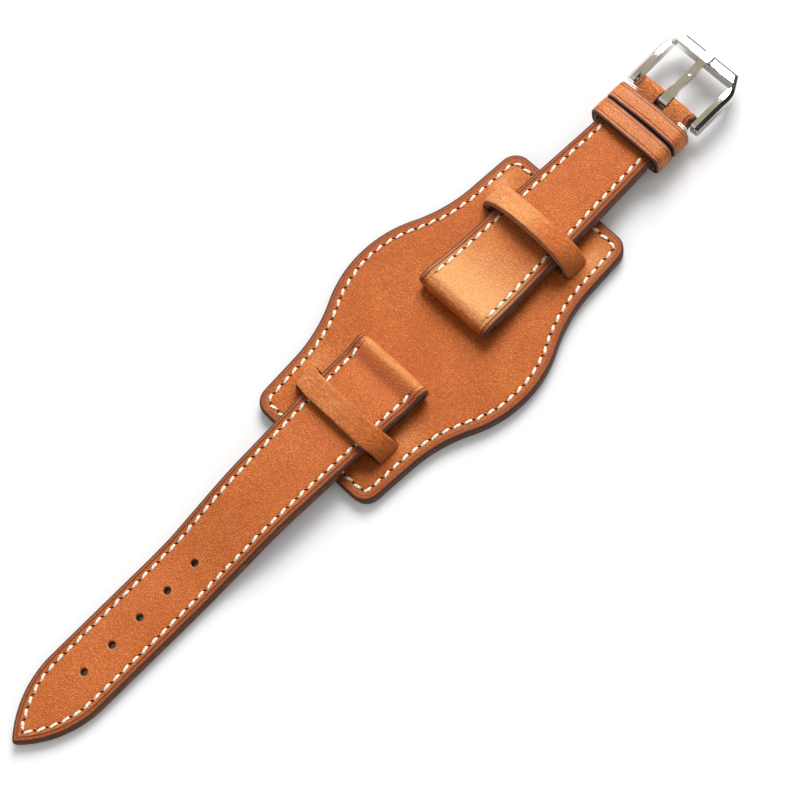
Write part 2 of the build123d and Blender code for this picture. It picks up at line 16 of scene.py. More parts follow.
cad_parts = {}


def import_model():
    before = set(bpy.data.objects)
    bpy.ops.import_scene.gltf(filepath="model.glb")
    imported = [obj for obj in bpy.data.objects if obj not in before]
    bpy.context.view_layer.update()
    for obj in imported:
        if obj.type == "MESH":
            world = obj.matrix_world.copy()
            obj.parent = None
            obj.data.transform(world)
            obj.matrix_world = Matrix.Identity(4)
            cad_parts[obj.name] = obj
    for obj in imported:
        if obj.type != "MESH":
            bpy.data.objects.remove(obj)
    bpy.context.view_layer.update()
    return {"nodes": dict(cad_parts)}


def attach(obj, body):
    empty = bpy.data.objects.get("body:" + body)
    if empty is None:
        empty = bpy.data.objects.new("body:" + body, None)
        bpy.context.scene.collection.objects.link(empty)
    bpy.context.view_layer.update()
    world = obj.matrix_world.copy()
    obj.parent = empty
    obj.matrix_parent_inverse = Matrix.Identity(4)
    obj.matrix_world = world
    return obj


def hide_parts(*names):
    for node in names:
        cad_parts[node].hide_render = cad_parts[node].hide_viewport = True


Array = np.ndarray
Colour = tuple[float, float, float]
Lift = Callable[[Array, Array], Array]
Place = Callable[[Array, Array, Array], Array]
Socket = bpy.types.NodeSocket
MM = 0.001
FULL_TURN = 2 * np.pi
log = logging.getLogger("bund_strap")


def run_of(points: Array) -> Array:
    """Length run along a polyline up to each of its points."""
    return np.concatenate([[0], np.cumsum(np.linalg.norm(np.diff(points, axis=0), axis=1))])


def nearest(values: Array, place: float) -> int:
    """Number of the value that is nearest to a place."""
    return int(np.argmin(np.abs(values - place)))


def ways(points: Array) -> Array:
    """Unit direction of a line at each of its points."""
    way = np.gradient(points, axis=0)
    return way / np.linalg.norm(way, axis=1)[:, None]


def arc_corners(corners: list[tuple[float, float]], radii: list[float], step: float = 0.1) -> Array:
    """Polyline through corner points whose inner corners are replaced by tangent arcs.

    An arc of radius r at a corner that opens by the angle a starts r / tan(a / 2) from the corner, and its
    centre lies on the bisector at r / sin(a / 2).

    Args:
        corners: the corner points, first and last kept.
        radii: one radius for each inner corner.
        step: spacing of the points on the arcs.
    Returns:
        Points of the line, one row each.
    """
    pts = np.array(corners, float)
    out = [pts[:1]]
    for p0, p1, p2, r in zip(pts[:-2], pts[1:-1], pts[2:], radii):
        d1, d2 = p0 - p1, p2 - p1
        l1, l2 = np.linalg.norm(d1), np.linalg.norm(d2)
        d1, d2 = d1 / l1, d2 / l2
        half = 0.5 * np.arccos(np.clip(d1 @ d2, -1, 1))
        r = min(r, 0.49 * min(l1, l2) * np.tan(half))
        centre = p1 + (d1 + d2) / np.linalg.norm(d1 + d2) * r / np.sin(half)
        a, b = (p1 + d * r / np.tan(half) - centre for d in (d1, d2))
        turn = np.arctan2(a[0] * b[1] - a[1] * b[0], a @ b)
        w = np.linspace(0, turn, max(3, int(abs(turn) * r / step) + 2))[:, None]
        out.append(centre + a * np.cos(w) + np.array([-a[1], a[0]]) * np.sin(w))
    return np.concatenate([*out, pts[-1:]])


def even_line(points: Array, step: float, closed: bool = False) -> Array:
    """The same line with evenly spaced points.

    Args:
        points: points of the line.
        step: wanted spacing.
        closed: whether the last point joins the first.
    Returns:
        Evenly spaced points; a closed line doesn't repeat its first.
    """
    pts = np.concatenate([points, points[:1]]) if closed else points
    run = run_of(pts)
    keep = np.concatenate([[True], np.diff(run) > 1e-9])
    run, pts = run[keep], pts[keep]
    at = np.linspace(0, run[-1], max(2, int(round(run[-1] / step))) + 1)
    if closed:
        at = at[:-1]
    return np.stack([np.interp(at, run, pts[:, k]) for k in range(pts.shape[1])], axis=1)


def soften(line: Array, reach: int, closed: bool = False) -> Array:
    """A line whose points are each the bell-weighted mean of their neighbours; open ends are held.

    Args:
        line: evenly spaced points.
        reach: half-width of the bell in points.
        closed: whether the line is a loop.
    Returns:
        The softened points.
    """
    w = np.exp(-2 * (np.arange(-reach, reach + 1) / reach) ** 2)
    w /= w.sum()
    head, tail = line[-reach:], line[:reach]
    if not closed:
        head = 2 * line[:1] - line[1 : reach + 1][::-1]
        tail = 2 * line[-1:] - line[-reach - 1 : -1][::-1]
    padded = np.concatenate([head, line, tail])
    return np.stack([np.convolve(padded[:, k], w, mode="valid") for k in range(line.shape[1])], axis=1)


def smooth(x: Array, low: float, high: float) -> Array:
    """Smooth step from 0 at low to 1 at high: 3 t squared minus 2 t cubed."""
    t = np.clip((x - low) / (high - low), 0, 1)
    return t * t * (3 - 2 * t)


def bell(x: Array, width: float) -> Array:
    """Bell curve exp(-(x / width) squared)."""
    return np.exp(-((x / width) ** 2))


def level(height: float) -> Lift:
    """The same height at every flat place."""
    return lambda s, c: np.full(np.shape(s), height)


def face_up(s: Array, c: Array, n: Array) -> Array:
    """Leaves a flat place with its height where it is."""
    return np.stack(np.broadcast_arrays(s, c, n), axis=-1)


def face_down(s: Array, c: Array, n: Array) -> Array:
    """Puts a flat place in space face down: y and z are turned round."""
    return face_up(s, -c, -n)


def nearest_on_line(line: Array, points: Array, batch: int = 4000) -> tuple[Array, Array]:
    """Distance across and place along an open polyline, for many points at once.

    Each point is dropped onto every segment, and the segment with the least distance gives its signed
    distance, positive on the left of the way the line runs, and the length run up to the foot.

    Args:
        line: points of the polyline.
        points: points to measure, one row each.
        batch: how many are measured at a time.
    Returns:
        Signed distances and lengths along the line.
    """
    a, d = line[:-1], np.diff(line, axis=0)
    length = np.linalg.norm(d, axis=1)
    run = run_of(line)
    across, along = np.empty(len(points)), np.empty(len(points))
    for start in range(0, len(points), batch):
        p = points[start : start + batch]
        rel = p[:, None, :] - a[None]
        t = np.clip((rel * d).sum(2) / length**2, 0, 1)
        gap = rel - t[..., None] * d
        dist = np.hypot(gap[..., 0], gap[..., 1])
        k = dist.argmin(1)
        rows = np.arange(len(p))
        side = d[k, 0] * rel[rows, k, 1] - d[k, 1] * rel[rows, k, 0]
        across[start : start + batch] = np.where(side < 0, -1, 1) * dist[rows, k]
        along[start : start + batch] = run[k] + t[rows, k] * length[k]
    return across, along


@dataclass
class Outline:
    """Flat outline of a piece that is the same on both sides of its middle line.

    Attributes:
        line: points of the upper half of the edge, from one end of the middle line to the other.
    """

    line: Array

    def inset(self, depth: float, spacing: float = 0.12, slack: float = 0.985) -> "Outline":
        """The outline moved inwards along its normals and cut at the middle line.

        Args:
            depth: how far the edge moves.
            spacing: distance between the new points.
            slack: share of the depth that a point keeps to the old edge, or else it is dropped.
        Returns:
            The smaller outline.
        """
        fine = even_line(self.line, spacing)
        way = ways(fine)
        moved = fine + depth * np.stack([way[:, 1], -way[:, 0]], axis=1)
        across, _ = nearest_on_line(fine, moved)
        return Outline(moved[(moved[:, 1] >= 0) & (np.abs(across) > depth * slack)])

    def half_width(self, x: Array) -> Array:
        """Half-width of the piece at places along it."""
        order = np.argsort(self.line[:, 0], kind="stable")
        return np.interp(x, self.line[order, 0], self.line[order, 1])

    def edge_distance(self, x: Array, y: Array, spacing: float = 0.3) -> Array:
        """Distance of points from the edge, measured to points at a spacing on it."""
        flat = np.stack([x.ravel(), np.abs(y).ravel()], axis=1)
        across, _ = nearest_on_line(even_line(self.line, spacing), flat)
        return np.abs(across).reshape(np.shape(x))


@dataclass
class Seam:
    """A row of saddle stitches along a flat line.

    Attributes:
        line: points of the row.
        pitch: wanted distance between holes; it is evened out over the row.
    """

    line: Array
    pitch: float = 2.70

    def __post_init__(self) -> None:
        """Measures the row and evens the pitch out."""
        self.run = run_of(self.line)
        self.count = int(round(self.run[-1] / self.pitch))
        self.pitch = self.run[-1] / self.count

    def at(self, along: Array, reach: float = 0.25) -> tuple[Array, Array]:
        """Points at lengths along the row, and unit directions taken over a short reach to both sides."""
        p, q, r = (np.stack([np.interp(along + e, self.run, self.line[:, k]) for k in (0, 1)], axis=-1)
                   for e in (0.0, reach, -reach))
        return p, (q - r) / np.linalg.norm(q - r, axis=-1, keepdims=True)


@dataclass(frozen=True)
class Border:
    """How a leather's face falls off towards its edge and dips under its seam.

    Attributes:
        inset: distance of the stitches from the edge.
        furrow, width: depth and width of the channel under the stitches.
        bevel: how far the outermost millimetre is bevelled down.
    """

    inset: float
    furrow: float
    width: float = 0.55
    bevel: float = 0.0

    def fall(self, edge: Array) -> Array:
        """How much lower the face is at distances from the edge."""
        return self.bevel * np.clip(1 - edge, 0, 1) ** 2 + self.furrow * bell(edge - self.inset, self.width)


class Plane(Enum):
    """The upright plane in which a leather's bending line is drawn."""

    ALONG = "xz"
    ACROSS = "yz"


@dataclass
class Bend:
    """Bending line of a leather's grain side, drawn in an upright plane.

    A point of the flat piece at the length s, the side place c and the depth n comes to the line's point at
    s, plus n times the line's normal, plus c times the plane's normal.

    Attributes:
        line: points of the line.
        plane: the plane that it is drawn in.
        closed: whether it is a loop.
    """

    line: Array
    plane: Plane = Plane.ALONG
    closed: bool = False

    def __post_init__(self) -> None:
        """Works out the running length and the normals."""
        self.points = np.concatenate([self.line, self.line[:1]]) if self.closed else self.line
        self.run = run_of(self.points)
        way = ways(self.points)
        if self.closed:
            ring = np.concatenate([self.line[-1:], self.line, self.line[:1]])
            way = ring[2:] - ring[:-2]
            way = np.concatenate([way, way[:1]])
            way /= np.linalg.norm(way, axis=1)[:, None]
        turn = 1.0 if self.plane is Plane.ALONG else -1.0
        self.normals = turn * np.stack([-way[:, 1], way[:, 0]], axis=1)

    @property
    def length(self) -> float:
        """Length of the bending line."""
        return float(self.run[-1])

    def flat_x(self, s: Array) -> Array:
        """First coordinate of the line at a length along it."""
        return np.interp(s, self.run, self.points[:, 0])

    def length_at(self, x: float, part: Array | slice = slice(None)) -> float:
        """Length along the line at a first coordinate, on a part of the line that runs one way."""
        xs, run = self.points[part, 0], self.run[part]
        order = 1 if xs[-1] > xs[0] else -1
        return float(np.interp(order * x, order * xs, run))

    def place(self, s: Array, c: Array, n: Array) -> Array:
        """Points in space for flat places.

        Args:
            s: lengths along the line.
            c: places to the side.
            n: depths above the grain side.
        Returns:
            Points, with a last axis of three.
        """
        p = [np.interp(s, self.run, self.points[:, k]) for k in (0, 1)]
        m = [np.interp(s, self.run, self.normals[:, k]) for k in (0, 1)]
        norm = np.hypot(m[0], m[1])
        a, b = p[0] + n * m[0] / norm, p[1] + n * m[1] / norm
        return face_up(a, c, b) if self.plane is Plane.ALONG else face_up(c, a, b)


# The pulled mark carries painted light: a painted highlight above zero, a painted shade below zero.
MARKS = {"edge": 9.0, "seam_along": 0.0, "seam_across": 9.0, "creased": 0.0, "pulled": 0.0}


@dataclass
class Skin:
    """Vertices, quads and per-vertex marks of one piece while it is put together."""

    points: list[Array] = field(default_factory=list)
    quads: list[Array] = field(default_factory=list)
    slots: list[Array] = field(default_factory=list)
    marks: dict[str, list[Array]] = field(default_factory=lambda: {key: [] for key in MARKS})
    wraps: list[Array] = field(default_factory=list)
    size: int = 0

    def add(self, points: Array, marks: dict[str, Array | float] | None = None,
            wrap: Array | None = None) -> Array:
        """Adds vertices.

        Args:
            points: an array whose last axis is three long.
            marks: values for the marks, arrays of the same shape or single numbers.
            wrap: pattern coordinates, an array whose last axis is two long.
        Returns:
            The new vertices' numbers in the array's shape.
        """
        shape = points.shape[:-1]
        count = int(np.prod(shape))
        self.points.append(points.reshape(-1, 3))
        for key, plain in MARKS.items():
            value = (marks or {}).get(key, plain)
            self.marks[key].append(np.broadcast_to(value, shape).reshape(-1).astype(float))
        self.wraps.append(np.zeros((count, 2)) if wrap is None else wrap.reshape(-1, 2))
        self.size += count
        return np.arange(self.size - count, self.size).reshape(shape)

    def face(self, quads: Array, slot: int = 0, flip: bool = False) -> None:
        """Adds quads, given as rows of four vertex numbers, with a material slot."""
        quads = quads.reshape(-1, 4)
        self.quads.append(quads[:, ::-1] if flip else quads)
        self.slots.append(np.full(len(quads), slot))

    def between(self, a: Array, b: Array, slot: int, flip: bool = False) -> None:
        """Adds the quads between two loops with as many vertices each."""
        self.face(np.stack([a, np.roll(a, -1), np.roll(b, -1), b], axis=1), slot, flip)

    def grid(self, n: Array, slot: int = 0, flip: bool = False, keep: Array | None = None,
             wrap: tuple[bool, bool] = (False, False)) -> None:
        """Adds the quads of a grid of vertices.

        Args:
            n: vertex numbers, two axes.
            slot: material slot.
            flip: whether the faces look the other way.
            keep: mask of the cells to make.
            wrap: whether the grid closes on itself along each axis.
        """
        if wrap[0]:
            n = np.concatenate([n, n[:1]])
        if wrap[1]:
            n = np.concatenate([n, n[:, :1]], axis=1)
        q = np.stack([n[:-1, :-1], n[1:, :-1], n[1:, 1:], n[:-1, 1:]], axis=-1)
        self.face(q[keep] if keep is not None else q, slot, flip)

    def make(self, name: str, materials: list[bpy.types.Material], body: str, node: str, slot: str) -> None:
        """Stores the piece as a smooth-shaded object that rides on a body and stands for a node.

        Args:
            name: the object's name.
            materials: its materials, in slot order.
            body: the body that it moves with.
            node: the node that it replaces.
            slot: the record's slot; it is not used.
        """
        quads = np.concatenate(self.quads)
        mesh = bpy.data.meshes.new(name)
        mesh.vertices.add(self.size)
        mesh.vertices.foreach_set("co", (np.concatenate(self.points) * MM).astype(np.float32).ravel())
        mesh.loops.add(quads.size)
        mesh.loops.foreach_set("vertex_index", quads.astype(np.int32).ravel())
        mesh.polygons.add(len(quads))
        mesh.polygons.foreach_set("loop_start", np.arange(0, quads.size, 4, dtype=np.int32))
        mesh.polygons.foreach_set("material_index", np.concatenate(self.slots).astype(np.int32))
        mesh.update(calc_edges=True)
        mesh.polygons.foreach_set("use_smooth", np.ones(len(quads), bool))
        for key, values in self.marks.items():
            layer = mesh.attributes.new(key, "FLOAT", "POINT")
            layer.data.foreach_set("value", np.concatenate(values).astype(np.float32))
        uv = mesh.uv_layers.new(name="wrap")
        uv.data.foreach_set("uv", np.concatenate(self.wraps)[quads.ravel()].astype(np.float32).ravel())
        mesh.validate()
        for material in materials:
            mesh.materials.append(material)
        piece = bpy.data.objects.new(name, mesh)
        bpy.context.scene.collection.objects.link(piece)
        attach(piece, body)
        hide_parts(node)
        log.info("%s: %d faces on %s", name, len(quads), body)


@dataclass
class Sheet:
    """A leather sheet with thickness: grain side, flesh side and a rounded cut edge.

    Attributes:
        s: lengths of the grid's columns.
        c: side places of the grid, one row for each column.
        top: height of the grain side over the bending line, for flat places.
        bottom: height of the flesh side.
        place: where a flat place with a height comes to in space.
        outline: the true flat outline, for the marks.
        rounds: radii of the edge at the grain side and at the flesh side.
        seams: its rows of stitches.
        creased: how wrinkled it is, for flat places.
        pulled: painted light for flat places: a painted highlight above zero, a painted shade below zero.
        cuts: first and last columns and rows of the grid blocks that are cut out.
        holes: length, side place and radius of the punched holes.
        hole_block: half-width of the grid block round a hole.
    """

    s: Array
    c: Array
    top: Lift
    bottom: Lift
    place: Place
    outline: Outline
    rounds: tuple[float, float] = (0.45, 0.05)
    seams: tuple[Seam, ...] = ()
    creased: Lift = level(0.0)
    pulled: Lift = level(0.0)
    cuts: tuple[tuple[int, int, int, int], ...] = ()
    holes: tuple[tuple[float, float, float], ...] = ()
    hole_block: float = 2.0

    def marks(self, s: Array, c: Array) -> dict[str, Array]:
        """Marks of flat places: distance from the edge, place on the nearest seam, wrinkles and painted light.
        """
        out = {"edge": self.outline.edge_distance(s, c), "creased": self.creased(s, c),
               "pulled": self.pulled(s, c)}
        best = np.full(np.size(s), np.inf)
        for seam in self.seams:
            across, along = nearest_on_line(seam.line, np.stack([s.ravel(), c.ravel()], axis=1))
            nearer = np.abs(across) <= np.abs(best)
            best = np.where(nearer, across, best)
            place = np.where(nearer, along / seam.pitch, out.get("seam_along", best).ravel())
            out["seam_across"], out["seam_along"] = best.reshape(s.shape), place.reshape(s.shape)
        return out

    def hole_cells(self) -> list[tuple[int, int, int, int]]:
        """First and last columns and rows of the grid block round each punched hole."""
        blocks = []
        for hs, hc, _ in self.holes:
            cols = np.flatnonzero(np.abs(self.s - hs) < self.hole_block)
            rows = np.flatnonzero(np.abs(self.c[cols[0]] - hc) < self.hole_block)
            blocks.append((cols[0], cols[-1], rows[0], rows[-1]))
        return blocks

    @staticmethod
    def block_loop(n: Array, i0: int, i1: int, j0: int, j1: int) -> Array:
        """Values of a grid round a block of it, the way that the row of s grows first."""
        return np.concatenate([n[i0:i1, j0], n[i1, j0:j1], n[i1:i0:-1, j1], n[i0, j1:j0:-1]])

    def build(self, skin: Skin, slots: tuple[int, int, int] = (0, 1, 2)) -> None:
        """Adds the sheet to a skin.

        The rim goes from the inset grid outwards on a quarter circle of the first radius, straight down the
        wall and back on a quarter circle of the second.

        Args:
            skin: where the vertices and faces go.
            slots: material slots of the grain side, the cut edge and the flesh side.
        """
        s, c = np.broadcast_arrays(self.s[:, None], self.c)
        keep = np.ones((s.shape[0] - 1, s.shape[1] - 1), bool)
        blocks = self.hole_cells()
        for i0, i1, j0, j1 in [*self.cuts, *blocks]:
            keep[i0:i1, j0:j1] = False
        flat = np.stack([s, c], axis=-1)
        marks = self.marks(s, c)
        up, down = self.top(s, c), self.bottom(s, c)
        grain = skin.add(self.place(s, c, up), marks, flat)
        flesh = skin.add(self.place(s, c, down), {"edge": marks["edge"]}, flat)
        skin.grid(grain, slots[0], keep=keep)
        skin.grid(flesh, slots[2], flip=True, keep=keep)

        whole = (0, s.shape[0] - 1, 0, s.shape[1] - 1)
        ring = self.block_loop(flat, *whole)
        tangent = np.roll(ring, -1, axis=0) - np.roll(ring, 1, axis=0)
        tangent /= np.linalg.norm(tangent, axis=1)[:, None] + 1e-12
        outward = np.stack([tangent[:, 1], -tangent[:, 0]], axis=1)
        high, low, inner, *creased_and_painted_light = (self.block_loop(values, *whole) for values in
                                   (up, down, marks["edge"], marks["creased"], marks["pulled"]))
        r1, r2 = self.rounds
        quarter = np.linspace(0, np.pi / 2, 6)[1:]
        rim = [(r1 * np.sin(a), high - r1 * (1 - np.cos(a)), True) for a in quarter]
        rim += [(r1, (high - r1) * (1 - share) + (low + r2) * share, False) for share in (0.35, 0.7)]
        rim += [(r1 - r2 * (1 - np.cos(a)), low + r2 * (1 - np.sin(a)), False)
                for a in np.linspace(0, np.pi / 2, 4)]
        previous = self.block_loop(grain, *whole)
        for out, height, grained in rim:
            at = ring + out * outward
            edge = np.maximum(inner - out, 0) if grained else 0.0
            new = skin.add(self.place(at[:, 0], at[:, 1], height),
                           {"edge": edge, "creased": creased_and_painted_light[0], "pulled": creased_and_painted_light[1]}, at)
            self.hem(skin, previous, new, slots[0] if grained else slots[1])
            previous = new
        self.hem(skin, previous, self.block_loop(flesh, *whole), slots[1])

        for block in self.cuts:
            skin.between(self.block_loop(grain, *block), self.block_loop(flesh, *block), slots[2])
        for hole, block in zip(self.holes, blocks):
            self.punch(skin, slots, block, hole, grain, flesh, flat)

    @staticmethod
    def hem(skin: Skin, a: Array, b: Array, slot: int) -> None:
        """Adds the quads from one loop of the rim to the next."""
        skin.face(np.stack([a, b, np.roll(b, -1), np.roll(a, -1)], axis=1), slot)

    def punch(self, skin: Skin, slots: tuple[int, int, int], block: tuple[int, int, int, int],
              hole: tuple[float, float, float], grain: Array, flesh: Array, flat: Array,
              lip: float = 0.22) -> None:
        """Fills a block of the grid with rings that run from its sides to a round hole, and lines the hole.

        Ring points lie at shares between a side point and the lip's point at the same angle, and then on a
        quarter circle down the lip.

        Args:
            skin: where the vertices and faces go.
            slots: material slots.
            block: the block's first and last columns and rows.
            hole: centre and radius.
            grain: vertex numbers of the grain side.
            flesh: vertex numbers of the flesh side.
            flat: flat places of the grid.
            lip: radius of the hole's rounded lip.
        """
        hs, hc, radius = hole
        outer = self.block_loop(flat, *block)
        angle = np.arctan2(outer[:, 1] - hc, outer[:, 0] - hs)
        circle = np.stack([hs + radius * np.cos(angle), hc + radius * np.sin(angle)], axis=1)
        away = (circle - [hs, hc]) / radius * lip
        inner = []
        for side, first, lift, slot in ((1, grain, self.top, slots[0]), (-1, flesh, self.bottom, slots[2])):
            previous = self.block_loop(first, *block)
            for share in (0.35, 0.62, 0.82, 0.93, 1.0):
                at = outer * (1 - share) + (circle + away) * share
                marks = self.marks(at[:, 0], at[:, 1]) if side > 0 else None
                ring = skin.add(self.place(at[:, 0], at[:, 1], lift(at[:, 0], at[:, 1])), marks, at)
                skin.between(previous, ring, slot, flip=side < 0)
                previous = ring
            # The rings down the lip carry a painted highlight that is strongest at the hole.
            for share in (0.5, 1.0):
                w = share * np.pi / 2
                at = circle + away * (1 - np.sin(w))
                n = lift(at[:, 0], at[:, 1]) - side * lip * (1 - np.cos(w))
                ring = skin.add(self.place(at[:, 0], at[:, 1], n), {"pulled": 0.75 * share}, at)
                skin.between(previous, ring, slot, flip=side < 0)
                previous = ring
            inner.append(previous)
        skin.between(*inner, slots[2])


def dense_sides(half: Array, fine: float, band: float, middle: int) -> Array:
    """Side places of a strip's grid: evenly fine within a band at both edges, coarser between.

    Args:
        half: half-width at each column.
        fine: spacing in the band.
        band: width of the band, or less where the strip is narrow.
        middle: number of cells between the bands.
    Returns:
        One row of side places for each column, growing.
    """
    half = half[:, None]
    band_now = np.minimum(band, half * 0.45)
    steps = np.linspace(0, 1, int(round(band / fine)) + 1)[:-1]
    inner = (half - band_now) * np.linspace(-1, 1, middle + 1)
    return np.concatenate([-half + band_now * steps, inner, half - band_now * steps[::-1]], axis=1)


class Graph:
    """Short hand for wiring a node tree."""

    def __init__(self, tree: bpy.types.NodeTree) -> None:
        """Takes the tree that the nodes go into."""
        self.tree = tree

    def node(self, kind: str, **settings: object) -> bpy.types.Node:
        """Adds a node and sets its properties."""
        made = self.tree.nodes.new("ShaderNode" + kind)
        for key, value in settings.items():
            setattr(made, key, value)
        return made

    def feed(self, socket: Socket, value: object) -> None:
        """Links a socket to another or gives it a value; a colour's alpha is filled in."""
        if isinstance(value, Socket):
            self.tree.links.new(value, socket)
        else:
            wide = socket.type == "RGBA" and len(value) == 3
            socket.default_value = (*value, 1.0) if wide else value

    def call(self, kind: str, *values: object, **settings: object) -> bpy.types.Node:
        """Adds a node, sets its properties and feeds its first sockets in order."""
        made = self.node(kind, **settings)
        for socket, value in zip(made.inputs, values):
            self.feed(socket, value)
        return made

    def math(self, operation: str, *values: object, clamp: bool = False) -> Socket:
        """One arithmetic node."""
        return self.call("Math", *values, operation=operation, use_clamp=clamp).outputs[0]

    def times(self, first: object, second: object) -> Socket:
        """Product of two values."""
        return self.math("MULTIPLY", first, second)

    def more(self, value: object, factor: object, base: object) -> Socket:
        """A value times a factor on top of a base."""
        return self.math("MULTIPLY_ADD", value, factor, base)

    def off(self, value: object, middle: object) -> Socket:
        """How far a value is from a middle, either way."""
        return self.math("ABSOLUTE", self.math("SUBTRACT", value, middle))

    def step(self, value: object, low: float, high: float, start: float = 0.0, end: float = 1.0) -> Socket:
        """Smooth step of a value between two limits, from a start to an end."""
        return self.call("MapRange", value, low, high, start, end, interpolation_type="SMOOTHSTEP").outputs[0]

    def coats(self, colour: object, *coats: tuple[object, object]) -> Socket:
        """A colour with others laid over it in turn, each given as its share and its colour."""
        for share, over in coats:
            made = self.node("Mix", data_type="RGBA")
            for key, item in ((0, share), (6, colour), (7, over)):
                self.feed(made.inputs[key], item)
            colour = made.outputs[2]
        return colour

    def noise(self, vector: object, scale: float, detail: float = 2.0, rough: float = 0.5,
              twist: float = 0.0) -> Socket:
        """Noise value at a scale in features per millimetre."""
        made = self.node("TexNoise")
        for key, value in (("Vector", vector), ("Scale", scale), ("Detail", detail), ("Roughness", rough),
                           ("Distortion", twist)):
            self.feed(made.inputs[key], value)
        return made.outputs[0]

    def cells(self, vector: object, scale: float) -> Socket:
        """Distance to the border of the nearest cell."""
        made = self.node("TexVoronoi", feature="DISTANCE_TO_EDGE")
        self.feed(made.inputs["Vector"], vector)
        made.inputs["Scale"].default_value = scale
        return made.outputs["Distance"]

    def millimetres(self, stretch: Colour = (1, 1, 1), turn: float = 0.0) -> Socket:
        """Object coordinates in millimetres, turned about Z and then stretched."""
        mapping = self.node("Mapping", vector_type="TEXTURE")
        self.feed(mapping.inputs["Vector"], self.node("TexCoord").outputs["Object"])
        mapping.inputs["Scale"].default_value = tuple(MM / k for k in stretch)
        mapping.inputs["Rotation"].default_value = (0, 0, turn)
        return mapping.outputs[0]

    def mark(self, name: str) -> Socket:
        """A per-vertex mark of the piece."""
        return self.node("Attribute", attribute_type="GEOMETRY", attribute_name=name).outputs["Fac"]

    def group(self, tree: bpy.types.NodeTree, **values: object) -> dict[str, Socket]:
        """Places a node group with the values of its inputs, and gives its outputs by name."""
        made = self.node("Group", node_tree=tree)
        for key, value in values.items():
            self.feed(made.inputs[key], value)
        return {socket.name: socket for socket in made.outputs}

    def bump(self, height: object, depth: float, under: object = None) -> Socket:
        """Bump node with its depth in millimetres, over another normal if one is given."""
        made = self.node("Bump")
        self.feed(made.inputs["Height"], height)
        made.inputs["Distance"].default_value = depth * MM
        if under is not None:
            self.feed(made.inputs["Normal"], under)
        return made.outputs[0]

    def surface(self, colour: object, rough: object, normal: object, **constants: float) -> None:
        """Feeds the material's own shader; constants are its other sockets, with underscores for spaces."""
        shader = self.tree.nodes["Principled BSDF"]
        for key, value in (("Base Color", colour), ("Roughness", rough), ("Normal", normal)):
            self.feed(shader.inputs[key], value)
        for key, value in constants.items():
            shader.inputs[key.replace("_", " ")].default_value = value


def new_group(name: str, inputs: dict[str, float | None],
              outputs: tuple[str, ...]) -> tuple[Graph, dict, dict]:
    """Starts a shader node group.

    Args:
        name: its name.
        inputs: name of each input and its default, or None for a vector.
        outputs: names of its outputs, all plain values.
    Returns:
        The graph, the sockets that its inputs give, and the sockets that take its outputs.
    """
    tree = bpy.data.node_groups.new(name, "ShaderNodeTree")
    for key, default in inputs.items():
        kind = "NodeSocketVector" if default is None else "NodeSocketFloat"
        socket = tree.interface.new_socket(name=key, in_out="INPUT", socket_type=kind)
        if default is not None:
            socket.default_value = default
    for key in outputs:
        tree.interface.new_socket(name=key, in_out="OUTPUT", socket_type="NodeSocketFloat")
    start, end = tree.nodes.new("NodeGroupInput"), tree.nodes.new("NodeGroupOutput")
    return Graph(tree), {key: start.outputs[key] for key in inputs}, {key: end.inputs[key] for key in outputs}


def new_material(name: str) -> tuple[bpy.types.Material, Graph]:
    """A new material with the usual shader, and its graph."""
    material = bpy.data.materials.new(name)
    material.use_nodes = True
    return material, Graph(material.node_tree)


